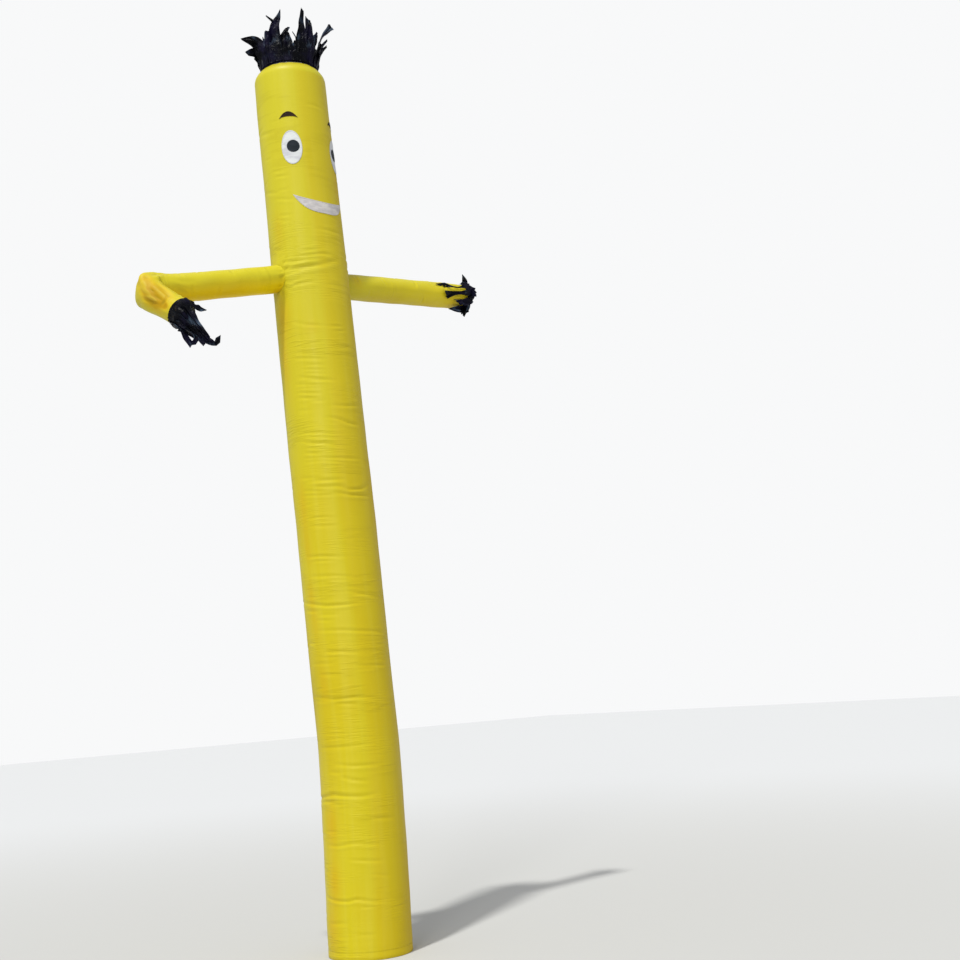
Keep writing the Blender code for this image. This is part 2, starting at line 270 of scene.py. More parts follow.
print("wires and finishes are ready")

# %% [markdown]
# ## The floor
# A plain pale floor takes the dancer's soft shadow. It is one large plane, laid flat. It grows paler
# away from the dancer, so its far edge fades into the pale room.

# %% Floor
bpy.ops.mesh.primitive_plane_add(size=80, location=(0, 0, -0.001))
floor = bpy.context.object
floor.name = "floor"
plaster = Finish("pale_floor", Roughness=0.85, Specular_IOR_Level=0.2)
place = plaster.node("ShaderNodeTexCoord", output="Object")
away = plaster.node("ShaderNodeVectorMath", {0: place}, output="Value", operation="LENGTH")
shade = plaster.mix(away.between(1.0, 13.0), (0.50, 0.498, 0.49, 1), (0.60, 0.605, 0.62, 1))
floor.data.materials.append(plaster.show(Base_Color=shade))
print("floor laid")

# %% [markdown]
# ## The yellow nylon
# Air dancers are sewn from thin ripstop nylon: a fine plain weave with a stronger thread every few
# millimetres, which makes a grid of tiny squares. It has a satin gloss and it creases in long thin
# lines across the tube. The weave follows the cloth, so it reads the piece's own flat map, in metres.
# The folds that are modelled leave a mark on each corner of the mesh, `fold`, which the colour reads
# as well: it paints olive shade in the creases and a pale highlight on the roll beside them. `warm`
# marks soft golden blots, partly painted shade, and `lit` paints an amber glow of light through the
# cloth on the lower side of the arms.

# %% Yellow nylon
YELLOW, GOLDEN, LEMON = (0.545, 0.455, 0.010, 1), (0.53, 0.395, 0.004, 1), (0.54, 0.495, 0.026, 1)
OLIVE, PALE, AMBER = (0.27, 0.205, 0.004, 1), (0.60, 0.54, 0.060, 1), (0.84, 0.63, 0.002, 1)
GOLDEN_TONE_AND_SHADE, OCHRE = (0.57, 0.33, 0.002, 1), (0.33, 0.19, 0.001, 1)
RIPSTOP, STITCH = 0.005, 0.006  # the side of the weave's squares and the length of a stitch


def ripstop(finish, flat):
    """Height of the stronger threads, which cross each other in small squares."""
    return finish.bands(flat, RIPSTOP, "X") ** 6 + finish.bands(flat, RIPSTOP, "Y") ** 6


def felled_seam(finish, away, flat):
    """Height of a flat welt beside the line where away is 0, with a row of stitches on it."""
    dash = finish.bands(flat, STITCH, "Y").between(0.25, 0.5)
    return (1 - away.between(0.007, 0.009)) * 0.6 + away.near(0.0055, 0.0008) * dash * 0.4


def yellow_nylon(name, cloth_round, hem_rows):
    """The yellow cloth of a tube that is cloth_round metres round, stitched at the hem_rows."""
    finish = Finish(name, Specular_IOR_Level=0.15)
    flat, place = finish.flat_map(), finish.place()
    across, along, level = finish.part(flat, "X"), finish.part(flat, "Y"), finish.part(place, "Z")
    fold, warm, lit = finish.mark("fold"), finish.mark("warm"), finish.mark("lit")
    calm = 1 - level.between(4.0, 4.4) * 0.6

    grid = ripstop(finish, flat)
    lines = 1 - abs(finish.noise(flat, 1.0, 4.0, (2.2, 19, 1)) * 2 - 1) * 6
    lines = lines.between(0.0, 1.0) * finish.noise(flat, 2.3, 1.0, (1, 2, 1)).between(0.52, 0.64)
    fine = 1 - abs(finish.noise(flat, 1.0, 2.0, (5, 70, 1)) * 2 - 1) * 4
    rippled = finish.noise(flat, 1.0, 1.0, (2.4, 5.5, 1)).between(0.46, 0.60) * 0.24 + 0.03
    seam = felled_seam(finish, cloth_round / 2 - abs(across), flat)
    stitched = seam
    for row in hem_rows:
        dash = finish.bands(flat, STITCH, "X").between(0.25, 0.5)
        stitched = stitched + along.near(row, 0.0009) * dash

    normal = finish.bump((lines * 0.42 + fine.between(0.0, 1.0) * rippled) * calm, 0.0022)
    normal = finish.bump(stitched, 0.0011, normal)
    normal = finish.bump(grid, 0.00010, normal)

    cloud = finish.noise(place, 2.4, 3.0, (1, 1, 0.55)).between(0.36, 0.70)
    streak = finish.noise(flat, 1.0, 3.0, (17, 0.9, 1)).between(0.40, 0.72)
    colour = finish.mix(level.between(0.8, 5.2) * 0.75, finish.mix(cloud * 0.60, YELLOW, GOLDEN), LEMON)
    colour = finish.mix(streak * 0.22, colour, PALE)
    # painted glow: light through the thin cloth, amber on the arms' lower side
    colour = finish.mix(lit, colour, AMBER)
    # golden blots, partly painted shade: on the side away from the lamps and on the arms
    colour = finish.mix(warm, colour, GOLDEN_TONE_AND_SHADE)
    colour = finish.mix(warm.between(0.5, 1.0) * 0.6, colour, OCHRE)
    # painted shade in the fine crease lines, and a darker felled seam
    colour = finish.mix(lines * 0.12 + seam * 0.10, colour, OLIVE)
    # painted shade in the creases, and the right arm's painted shadow and a darker dome
    colour = finish.mix(fold.between(0.1, 1.4) * 0.50, colour, OLIVE)
    # painted highlight on the roll of cloth beside each crease
    colour = finish.mix((0 - fold).between(0.0, 1.0) * 0.30, colour, PALE)
    rough = 0.37 + cloud * 0.10 + warm * 0.16 + grid * 0.02
    return finish.show(Base_Color=colour, Roughness=rough, Normal=normal)


print("yellow nylon is ready")

# %% [markdown]
# ## How a fold is drawn
# Inflated nylon doesn't sag. Where it has been packed or where it bends, it keeps long thin creases,
# each a shallow trough with a soft roll of cloth beside it, deepest in the middle and gone at both
# ends. A crease is drawn as a path of a few points, in metres on the flat cloth. Each corner of the
# mesh then finds its nearest place on the path and moves in or out by the crease's section. This way
# was chosen over a cloth simulation because the folds can be placed one by one where they belong.

# %% Creases


def crease_moves(across, along, creases):
    """How far each place on a flat cloth moves out of it, for creases of (path, depth, half width).
    across and along are arrays in metres."""
    moved = np.zeros_like(across)
    for path, depth, width in creases:
        path = np.asarray(path, dtype=float)
        low, high = path.min(axis=0) - 4 * width, path.max(axis=0) + 4 * width
        close = (across > low[0]) & (across < high[0]) & (along > low[1]) & (along < high[1])
        if not close.any():
            continue
        x, y = across[close], along[close]
        steps = np.diff(path, axis=0)
        lengths = np.hypot(*steps.T)
        nearest, share, side = np.full(x.shape, np.inf), np.zeros_like(x), np.zeros_like(x)
        for k, (start, step) in enumerate(zip(path, steps)):
            dx, dy = x - start[0], y - start[1]
            part = np.clip((dx * step[0] + dy * step[1]) / lengths[k] ** 2, 0, 1)
            away = np.hypot(dx - part * step[0], dy - part * step[1])
            better = away < nearest
            nearest = np.where(better, away, nearest)
            place = (lengths[:k].sum() + part * lengths[k]) / lengths.sum()
            share = np.where(better, place, share)
            side = np.where(better, np.sign(step[0] * dy - step[1] * dx), side)
        across_it = side * nearest / width
        section = -np.exp(-(across_it**2)) + 0.55 * np.exp(-(((across_it + 1.9) / 1.05) ** 2))
        section = section + 0.30 * np.exp(-(((across_it - 1.9) / 1.2) ** 2))
        moved[close] += depth * section * np.sin(np.pi * share) ** 0.55
    return moved


def through(stations, values, at):
    """A smooth curve through values at stations, read at other stations."""
    stations, values = np.asarray(stations, float), np.asarray(values, float)
    slopes = np.gradient(values, stations, axis=0)
    k = np.clip(np.searchsorted(stations, at) - 1, 0, len(stations) - 2)
    gap = stations[k + 1] - stations[k]
    t = (at - stations[k]) / gap
    shape = t.shape + (1,) * (values.ndim - 1)
    t, gap = t.reshape(shape), gap.reshape(shape)
    rise, fall = t * t * (3 - 2 * t), t * (1 - t) ** 2
    curve = values[k] * (1 - rise) + values[k + 1] * rise
    return curve + gap * (fall * slopes[k] - t * t * (1 - t) * slopes[k + 1])


print("a crease 4 mm deep lies", crease_moves(np.array([0.0]), np.array([0.0]),
      [([(-0.1, 0), (0.1, 0)], 0.004, 0.01)]).round(4), "m in")

# %% [markdown]
# ## The tube's form
# The tube stands upright up to a bend near its base and leans back and to its right above it. It
# narrows a little up to the neck and a little more to the shoulder, where a low dome closes it.

# %% Tube form
BASE_RADIUS, NECK_RADIUS, SHOULDER_RADIUS = 0.2286, 0.2217, 0.208
NECK_HEIGHT, SHOULDER_HEIGHT, DOME_RISE = 3.90, 5.00, 0.116
LEAN, LEAN_ROUND = math.tan(math.radians(2.8)), -126.0
BEND_START, BEND_END = 0.84, 1.24
ROUND = 2 * math.pi * BASE_RADIUS  # of the cloth at the base
DEGREE = ROUND / 360


def tube_centre(height):
    """The middle of the tube at a height: upright below the bend, leaning above it."""
    height = np.asarray(height, dtype=float)
    bend = BEND_END - BEND_START
    share = np.clip((height - BEND_START) / bend, 0, 1)
    run = LEAN * (bend * share * share / 2 + np.clip(height - BEND_END, 0, None))
    return BASE_CENTRE + outward(LEAN_ROUND) * run[..., None] + UP * height[..., None]


def tube_radius(height):
    radii = (BASE_RADIUS, NECK_RADIUS, SHOULDER_RADIUS)
    return np.interp(height, (0, NECK_HEIGHT, SHOULDER_HEIGHT), radii)


print("the cloth is", round(ROUND, 3), "m round and the top's middle is at",
      tube_centre(SHOULDER_HEIGHT).round(3))

# %% [markdown]
# ## Where the tube creases
# The deep folds lie where the tube bends: at the neck, which the arms pull on, at the kink low on its
# right side and at a few places between. Finer ones lie in groups where the cloth was folded flat in
# its bag. Each row gives a crease's path as angle and height, its depth and its half width. Further
# down all depths are eased, so that none passes `DEEPEST`. Most paths of the front, and a few places
# at the neck, weren't chosen freely: a separate measuring script worked them out, and they were
# rounded and typed in. Their depths and widths were chosen one by one.

# %% Creases of the front
MM = 0.001
NECK_CREASES = (
    (((-88, 3.836), (-70, 3.803), (-52, 3.802), (-32, 3.811), (-16, 3.826), (16, 3.866)), 13 * MM, 0.019),
    (((-80, 3.850), (-60, 3.842), (-40, 3.846), (-22, 3.852), (-6, 3.866)), 9 * MM, 0.013),
    (((-56, 3.868), (-36, 3.871), (-16, 3.884), (6, 3.880)), 7 * MM, 0.013),
    (((-48, 3.896), (-30, 3.902), (-12, 3.915)), 4 * MM, 0.011),
    (((-69, 3.684), (-60, 3.706), (-46, 3.711), (-29, 3.714)), 4 * MM, 0.010),
    (((-66, 3.722), (-59, 3.735), (-50, 3.738)), 3 * MM, 0.008),
    (((30, 3.86), (52, 3.845), (74, 3.838), (92, 3.85)), 7 * MM, 0.014),
    (((20, 3.905), (44, 3.90), (66, 3.91)), 4 * MM, 0.012),
)
FRONT_CREASES = (
    # the face and the cheeks
    (((-107, 4.657), (-82, 4.641), (-68, 4.636)), 3 * MM, 0.012),
    (((-96, 4.492), (-82, 4.482)), 2.5 * MM, 0.010),
    (((-79, 4.402), (-60, 4.386)), 2 * MM, 0.009),
    (((-77, 4.366), (-53, 4.354)), 2.5 * MM, 0.009),
    (((-112, 4.309), (-90, 4.285), (-70, 4.261)), 2.5 * MM, 0.011),
    (((-73, 4.280), (-55, 4.274)), 2 * MM, 0.009),
    (((-81, 4.236), (-46, 4.205)), 2.5 * MM, 0.010),
    (((-77, 4.128), (-54, 4.118)), 2.5 * MM, 0.010),
    (((-85, 4.115), (-60, 4.082)), 2 * MM, 0.010),
    (((-97, 3.948), (-74, 3.918)), 3 * MM, 0.011),
    (((-20, 4.035), (10, 4.028), (36, 4.040)), 2.5 * MM, 0.011),
    (((5, 3.985), (34, 3.978)), 2 * MM, 0.010),
    (((30, 4.400), (62, 4.388)), 2.5 * MM, 0.010),
    (((-14, 4.800), (18, 4.792)), 2 * MM, 0.011),
    # the chest
    (((-72, 3.498), (-48, 3.465), (-22, 3.453)), 3 * MM, 0.010),
    (((-17, 3.454), (10, 3.460)), 3 * MM, 0.009),
    (((-7, 3.424), (9, 3.441), (16, 3.436)), 2.5 * MM, 0.009),
    (((2, 3.330), (20, 3.356)), 3 * MM, 0.012),
    (((-71, 3.313), (-48, 3.297), (-22, 3.288)), 2.5 * MM, 0.009),
    (((-77, 3.282), (-58, 3.276), (-27, 3.260)), 3 * MM, 0.010),
    (((-60, 3.236), (-30, 3.226)), 2 * MM, 0.008),
    (((-63, 3.215), (-28, 3.195)), 3 * MM, 0.008),
    (((-61, 3.190), (-28, 3.176)), 2.5 * MM, 0.008),
    (((-71, 3.174), (-46, 3.153), (-15, 3.134)), 4 * MM, 0.010),
    (((-62, 3.143), (-30, 3.138)), 2 * MM, 0.008),
    (((-77, 3.134), (-38, 3.110)), 2.5 * MM, 0.009),
    (((-73, 3.108), (-34, 3.092)), 2 * MM, 0.008),
    (((-75, 3.085), (-39, 3.062)), 3.5 * MM, 0.009),
    (((-74, 3.057), (-40, 3.034)), 4 * MM, 0.010),
    (((-57, 3.026), (-33, 3.020)), 3 * MM, 0.009),
    (((-27, 2.995), (-4, 2.992), (36, 3.019)), 3 * MM, 0.010),
    (((-76, 2.982), (-51, 2.973)), 2 * MM, 0.009),
    (((-33, 2.929), (-16, 2.917), (-1, 2.897), (18, 2.889)), 6 * MM, 0.011),
    (((-32, 2.906), (-17, 2.890)), 3 * MM, 0.009),
    (((-74, 2.850), (-45, 2.842), (-20, 2.826)), 5 * MM, 0.009),
    (((-71, 2.829), (-41, 2.817), (-16, 2.807)), 3 * MM, 0.008),
    (((-77, 2.809), (-56, 2.785), (-39, 2.781), (-13, 2.757)), 5.5 * MM, 0.010),
    (((-70, 2.762), (-47, 2.754)), 2.5 * MM, 0.008),
    (((-74, 2.742), (-43, 2.715)), 3.5 * MM, 0.010),
    (((-75, 2.707), (-30, 2.695), (16, 2.692)), 4 * MM, 0.009),
    (((-76, 2.686), (-49, 2.682), (-8, 2.668)), 3 * MM, 0.008),
    (((-86, 2.602), (-44, 2.582)), 3 * MM, 0.010),
    # the waist
    (((-74, 2.576), (-54, 2.572), (-18, 2.572)), 4.5 * MM, 0.010),
    (((-63, 2.542), (-32, 2.528)), 3 * MM, 0.009),
    (((-82, 2.526), (-44, 2.507)), 3 * MM, 0.009),
    (((-40, 2.540), (-21, 2.532), (-12, 2.514), (11, 2.523), (35, 2.571)), 5 * MM, 0.010),
    (((-34, 2.500), (-8, 2.486), (34, 2.489)), 5 * MM, 0.011),
    (((-84, 2.500), (-33, 2.485)), 3 * MM, 0.008),
    (((-77, 2.369), (-53, 2.367), (-33, 2.354)), 3.5 * MM, 0.009),
    (((-73, 2.350), (-34, 2.340)), 3 * MM, 0.008),
    (((-77, 2.325), (-33, 2.315)), 2.5 * MM, 0.009),
    (((-89, 2.157), (-66, 2.153), (-29, 2.139)), 4.5 * MM, 0.010),
    (((-77, 2.130), (-40, 2.123)), 2.5 * MM, 0.009),
    (((-86, 2.048), (-45, 2.037), (-8, 2.022)), 3 * MM, 0.010),
    (((-57, 2.020), (-22, 2.010)), 3 * MM, 0.008),
    (((-35, 1.989), (-11, 1.960), (18, 1.923)), 3.5 * MM, 0.010),
    (((-32, 1.958), (-12, 1.938), (23, 1.906)), 5.5 * MM, 0.010),
    (((-29, 1.934), (-6, 1.928)), 2.5 * MM, 0.008),
    (((-112, 1.912), (-97, 1.904), (-61, 1.878), (-39, 1.876), (-12, 1.882)), 6.5 * MM, 0.010),
    (((-105, 1.864), (-76, 1.849)), 3 * MM, 0.009),
    (((-77, 1.832), (-46, 1.824)), 2 * MM, 0.009),
    (((-81, 1.806), (-56, 1.793)), 2 * MM, 0.009),
    # the legs
    (((-83, 1.747), (-41, 1.739), (-22, 1.731), (36, 1.716)), 3.5 * MM, 0.010),
    (((-108, 1.690), (-89, 1.676)), 3 * MM, 0.010),
    (((-74, 1.629), (-44, 1.623), (-20, 1.611)), 5 * MM, 0.010),
    (((-102, 1.568), (-57, 1.562)), 2 * MM, 0.009),
    (((-34, 1.554), (-23, 1.540), (23, 1.537)), 3.5 * MM, 0.009),
    (((-28, 1.523), (4, 1.522)), 3 * MM, 0.008),
    (((-89, 1.507), (-52, 1.499)), 2 * MM, 0.010),
    (((-118, 1.402), (-106, 1.391), (-65, 1.371), (-33, 1.373), (-4, 1.360)), 6 * MM, 0.0095),
    (((-108, 1.370), (-66, 1.357)), 3 * MM, 0.009),
    (((-62, 1.347), (-29, 1.335)), 3 * MM, 0.009),
    (((-74, 1.208), (-56, 1.206)), 2 * MM, 0.008),
    (((-83, 1.184), (-52, 1.184)), 2.5 * MM, 0.009),
    (((-82, 1.161), (-52, 1.160)), 2 * MM, 0.008),
    (((-107, 1.112), (-53, 1.114), (-23, 1.121)), 3.5 * MM, 0.010),
    (((-76, 1.026), (-47, 1.010), (-4, 1.007)), 3.5 * MM, 0.010),
    (((-85, 0.985), (-59, 0.972)), 2.5 * MM, 0.010),
    (((-68, 0.962), (-49, 0.938), (-27, 0.922)), 4 * MM, 0.010),
    (((-180, 0.846), (-150, 0.832), (-124, 0.838), (-104, 0.848), (-79, 0.864), (-55, 0.853),
      (-37, 0.847), (-15, 0.856)), 10 * MM, 0.012),
    (((-132, 0.812), (-112, 0.822), (-96, 0.827), (-71, 0.822)), 7 * MM, 0.011),
    (((-92, 0.806), (-70, 0.808)), 3 * MM, 0.008),
    (((-23, 0.728), (10, 0.716)), 2.5 * MM, 0.010),
    (((-101, 0.669), (-74, 0.662)), 2 * MM, 0.010),
    (((-100, 0.597), (-77, 0.592), (-51, 0.606), (-10, 0.586)), 3.5 * MM, 0.010),
    (((-59, 0.521), (-10, 0.501)), 3 * MM, 0.009),
    (((-27, 0.440), (-3, 0.417)), 2.5 * MM, 0.009),
    (((-29, 0.412), (-16, 0.408)), 2 * MM, 0.008),
    (((-120, 0.338), (-108, 0.321), (-82, 0.308), (-63, 0.306), (-52, 0.318), (-28, 0.298),
      (-12, 0.296)), 5.5 * MM, 0.0095),
    (((-46, 0.275), (-28, 0.271)), 2.5 * MM, 0.008),
    (((-104, 0.182), (-68, 0.196)), 2.5 * MM, 0.012),
    (((-55, 0.134), (-25, 0.129)), 2 * MM, 0.010),
)
print(len(NECK_CREASES), "creases at the neck and", len(FRONT_CREASES), "on the front")

# %% [markdown]
# ## The back of the tube
# The back was folded into the same bag, so its creases are of the same kind, in groups, but none lies
# at the same place. The main ones are drawn one by one. The fine ones are the front's, mirrored onto the
# back and shifted by uneven steps, without the longest ones and every sixth one.

# %% Creases of the back
BACK_CREASES = (
    (((92, 3.852), (118, 3.868), (146, 3.861), (172, 3.882), (196, 3.872), (226, 3.858)), 9 * MM, 0.016),
    (((120, 3.915), (150, 3.906), (176, 3.922)), 5 * MM, 0.012),
    (((158, 3.820), (186, 3.829), (214, 3.818)), 4 * MM, 0.012),
    (((64, 3.402), (104, 3.388), (132, 3.396)), 5 * MM, 0.011),
    (((84, 3.050), (120, 3.036), (168, 3.052)), 5 * MM, 0.011),
    (((60, 2.552), (92, 2.530), (130, 2.540), (158, 2.528)), 7 * MM, 0.013),
    (((140, 2.212), (176, 2.196), (206, 2.208)), 5 * MM, 0.011),
    (((52, 1.980), (90, 1.962), (124, 1.970)), 5 * MM, 0.012),
    (((118, 1.640), (152, 1.652), (190, 1.634), (214, 1.646)), 7 * MM, 0.012),
    (((70, 1.290), (108, 1.272), (140, 1.284)), 6 * MM, 0.012),
    (((96, 0.900), (130, 0.884), (168, 0.872), (188, 0.852)), 8 * MM, 0.014),
    (((62, 0.560), (98, 0.548), (130, 0.556)), 5 * MM, 0.012),
    (((132, 0.240), (168, 0.252), (200, 0.240)), 5 * MM, 0.012),
    (((100, 4.520), (140, 4.506), (176, 4.516)), 5 * MM, 0.012),
    (((88, 4.240), (120, 4.226), (158, 4.234)), 5 * MM, 0.012),
    (((170, 4.760), (206, 4.748)), 4 * MM, 0.012),
)
LONGEST_TURNED = 90  # degrees
turned = []
for k, (path, depth, width) in enumerate(FRONT_CREASES):
    if k % 6 != 2 and max(a for a, _ in path) - min(a for a, _ in path) < LONGEST_TURNED:
        lift = (0.034, -0.046, 0.012, -0.020, 0.058)[k % 5]
        turned.append(([(160 - (k * 29) % 37 - a, h + lift) for a, h in path], depth * 0.9, width))
print(len(BACK_CREASES), "main creases and", len(turned), "fine ones on the back")

# %% [markdown]
# ## Puckers round the arms
# Each arm is sewn into a round hole, and the seam gathers the tube's cloth, so short creases run away
# from it like rays. A ray is placed by its direction round the hole, 0 towards the face and 90 up,
# with its length, its depth and its half width.

# %% Puckers round the arms
RIGHT_ROOT, LEFT_ROOT = (-92.8, 3.768), (98.4, 3.797)  # angle and height of each hole's middle
RIGHT_RAYS = (
    (4, 0.085, 5, 9), (26, 0.060, 4, 8), (48, 0.075, 5, 9), (-22, 0.055, 4, 8), (-41, 0.080, 4, 9),
    (-66, 0.050, 3, 8), (70, 0.050, 4, 8), (94, 0.060, 4, 9), (-96, 0.045, 3, 8), (122, 0.07, 4, 9),
    (150, 0.055, 4, 8), (179, 0.080, 4, 9), (208, 0.050, 3, 8), (236, 0.060, 4, 9),
)
LEFT_RAYS = (
    (8, 0.060, 4, 8), (36, 0.075, 4, 9), (61, 0.050, 4, 8), (90, 0.070, 5, 9), (117, 0.055, 4, 8),
    (148, 0.080, 4, 9), (176, 0.060, 4, 8), (205, 0.070, 4, 9), (238, 0.050, 3, 8),
    (268, 0.060, 3, 9), (300, 0.050, 4, 8), (330, 0.075, 4, 9),
)
HOLE = 0.080


def rays(root, rows, direction):
    """Crease paths that run outward from a hole. direction is the way to the face, 1 or -1."""
    paths = []
    for turn, length, depth, width in rows:
        way = np.array((direction * math.cos(math.radians(turn)) / DEGREE, math.sin(math.radians(turn))))
        path = [np.array(root) + way * (HOLE + reach) for reach in (-0.012, length * 0.45, length)]
        paths.append((path, depth * MM, width * MM))
    return paths


PUCKERS = rays(RIGHT_ROOT, RIGHT_RAYS, 1) + rays(LEFT_ROOT, LEFT_RAYS, -1)
print(len(PUCKERS), "puckers round the arms")

# %% [markdown]
# ## The tube's surface
# The tube's surface at any angle and height is its radius, its folds and its billow together. The
# tube's own cloth, the arms' roots and the patches on the face all add up the same three, so that
# they touch. Between the creases the cloth is not quite round: it billows a little, stands up in a
# collar round each arm hole, and has a soft upright ridge above the hem on the dancer's right.

# %% Tube surface
DEEPEST, SHALLOWER, NARROWER = 4.8 * MM, 0.78, 0.82  # what every row's depth and width is eased by


def eased(path, depth, width):
    """A row's crease on the flat cloth, never deeper than DEEPEST."""
    flat_path = [(angle * DEGREE, height) for angle, height in path]
    return flat_path, DEEPEST * math.tanh(SHALLOWER * depth / DEEPEST), NARROWER * width


ALL_ROWS = (*NECK_CREASES, *FRONT_CREASES, *BACK_CREASES, *turned, *PUCKERS)
ALL_CREASES = [eased(*row) for row in ALL_ROWS]
RIDGE_ROUND = -61.0
COLLARS = ((-92.9, 3.769), LEFT_ROOT)  # the middle of the raised cloth round each arm hole


def fold_moves(angle, height):
    """How far the creases move the tube's cloth at a place, minus towards its inside."""
    angle, height = np.broadcast_arrays(np.asarray(angle, float), np.asarray(height, float))
    turns = [(angle + lap) * DEGREE for lap in (-360, 0, 360)]
    return sum(crease_moves(turn, height, ALL_CREASES) for turn in turns)


def billow(angle, height):
    """Soft unevenness of the full cloth."""
    turn, height = np.radians(angle), np.asarray(height, float)
    wave = 1.6 * np.sin(2 * turn + 2.3 * height) + 1.1 * np.sin(3 * turn - 3.7 * height + 1)
    wave = wave + 0.9 * np.sin(5 * turn + 7.9 * height) * np.sin(1.7 * height)
    wave = wave + 0.5 * np.sin(turn + 23 * height) * np.sin(2 * turn - 1.3 * height)
    away = (angle - RIDGE_ROUND + 180) % 360 - 180
    ridge = 3.0 * np.exp(-((away / 7) ** 2)) * np.clip(0.75 - height, 0, 0.5) * 2
    collars = 0.0
    for middle, level in COLLARS:
        across = ((angle - middle + 180) % 360 - 180) * DEGREE
        collars = collars + 9.0 * np.exp(-(((across**2 + (height - level) ** 2) / 0.0121) ** 2))
    return MM * (wave * np.clip(height * 5, 0.15, 1) + ridge + collars)


def tube_surface(angle, height, out):
    """Points that lie out from the tube's cloth, which has its creases, by a distance."""
    angle, height = np.broadcast_arrays(np.asarray(angle, float), np.asarray(height, float))
    radius = tube_radius(height) + fold_moves(angle, height) + billow(angle, height) + out
    return tube_centre(height) + outward(angle) * radius[..., None]


print("the deepest neck fold lies", round(-float(fold_moves(-40, np.linspace(3.78, 3.88, 60)).min()), 4),
      "m in")

# %% [markdown]
# ## From a flat grid to a sewn cloth
# Every cloth here begins as a flat grid, as cloth does. Its corners are moved to their places, its
# flat map keeps where they lay on the cut cloth, in metres, and its marks tell the colour where it is
# creased. Edges that meet are then sewn by merging their corners, and a solidify modifier gives the
# cloth its thickness.

# %% Cloth helpers
CLOTH = 0.0016


def lay_cloth(name, points, flat, **marks):
    """A grid whose corners go to points, an array of rows by columns, with its flat map and marks."""
    rows, columns = points.shape[:2]
    bpy.ops.mesh.primitive_grid_add(x_subdivisions=columns - 1, y_subdivisions=rows - 1, size=2)
    piece = bpy.context.object
    piece.name = piece.data.name = name
    mesh = piece.data
    place = np.empty(len(mesh.vertices) * 3)
    mesh.vertices.foreach_get("co", place)
    place = place.reshape(-1, 3)
    column = np.rint((place[:, 0] + 1) / 2 * (columns - 1)).astype(int)
    row = np.rint((place[:, 1] + 1) / 2 * (rows - 1)).astype(int)
    mesh.vertices.foreach_set("co", points[row, column].ravel())
    corner = np.empty(len(mesh.loops), dtype=int)
    mesh.loops.foreach_get("vertex_index", corner)
    mesh.uv_layers[0].name = "cloth"
    mesh.uv_layers["cloth"].data.foreach_set("uv", flat[row, column][corner].ravel())
    for mark, values in marks.items():
        values = np.broadcast_to(values, points.shape[:2])[row, column]
        mesh.attributes.new(mark, "FLOAT", "POINT").data.foreach_set("value", values)
    mesh.update()
    return piece


def sew(piece, reach=0.0001):
    """Merges corners that lie together, which closes seams and poles."""
    bpy.context.view_layer.objects.active = piece
    bpy.ops.object.mode_set(mode="EDIT")
    bpy.ops.mesh.select_all(action="SELECT")
    bpy.ops.mesh.remove_doubles(threshold=reach)
    bpy.ops.object.mode_set(mode="OBJECT")


def remove_faces(piece, chosen):
    """Deletes the faces whose middles the function chosen picks from an array of points."""
    mesh = piece.data
    middles = np.empty(len(mesh.polygons) * 3)
    mesh.polygons.foreach_get("center", middles)
    bpy.ops.object.mode_set(mode="EDIT")
    bpy.ops.mesh.select_mode(type="FACE")
    bpy.ops.mesh.select_all(action="DESELECT")
    bpy.ops.object.mode_set(mode="OBJECT")
    mesh.polygons.foreach_set("select", chosen(middles.reshape(-1, 3)))
    bpy.ops.object.mode_set(mode="EDIT")
    bpy.ops.mesh.delete(type="FACE")
    bpy.ops.mesh.select_mode(type="VERT")
    bpy.ops.object.mode_set(mode="OBJECT")


def thicken(piece, thickness, offset):
    """Gives a cloth its thickness: offset -1 puts it behind the faces and 1 in front of them."""
    shell = piece.modifiers.new("thickness", "SOLIDIFY")
    shell.thickness, shell.offset = thickness, offset
    bpy.context.view_layer.objects.active = piece
    bpy.ops.object.modifier_apply(modifier=shell.name)
    bpy.ops.object.select_all(action="DESELECT")
    piece.select_set(True)
    bpy.ops.object.shade_smooth_by_angle(angle=math.radians(50))
    piece.select_set(False)


def surface_area(piece):
    faces = piece.data.polygons
    sizes = np.empty(len(faces))
    faces.foreach_get("area", sizes)
    return float(sizes.sum())


def stands_for(piece, node, material):
    """Gives a piece its material, attaches it to the root body and hides the CAD piece it stands for."""
    piece.data.materials.clear()
    piece.data.materials.append(material)
    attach(piece, "root")
    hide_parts(node)
    faces = sum(len(face.vertices) - 2 for face in piece.data.polygons)
    print(piece.name, "has", faces, "triangles and", round(surface_area(piece), 3), "m2 of surface")


def graded(stop, fine, coarse, close):
    """Stations from 0 to stop, a fine step apart where close(place) is true."""
    stations = [0.0]
    while stations[-1] < stop:
        stations.append(stations[-1] + (fine if close(stations[-1]) else coarse))
    return np.array(stations) * stop / stations[-1]


# %% [markdown]
# ## The tube
# The tube is one cloth: its hem is turned in and stitched at the foot, its long edges meet in a felled
# seam up the back, and its top is gathered to the middle of the head. Its rows lie close together
# where it creases and further apart elsewhere, and its columns are closest beside the arms.

# %% Tube
HEM, FIRST_ROW = 0.05, 0.003
fold_heights = np.array([height for path, _, _ in ALL_CREASES for _, height in path])
walls = graded(SHOULDER_HEIGHT - FIRST_ROW, 0.0069, 0.0150,
               lambda h: np.abs(fold_heights - h).min() < 0.017)[1:] + FIRST_ROW
angles = graded(360.0, 3.9, 5.7, lambda a: min(abs(a - 90), abs(a - 270)) < 30) - 180
rise = np.radians(np.linspace(0, 90, 25))[1:]
hem_heights = np.array((HEM, 0.034, 0.018, 0.005, 0.0))
hem_inset = np.array((4.2, 4.2, 4.2, 4.2, 2.1)) * MM
heights = np.concatenate([hem_heights, [FIRST_ROW], walls])
inset = np.concatenate([hem_inset, np.zeros(len(walls) + 1)])
print(len(heights) + len(rise), "rows by", len(angles), "columns")

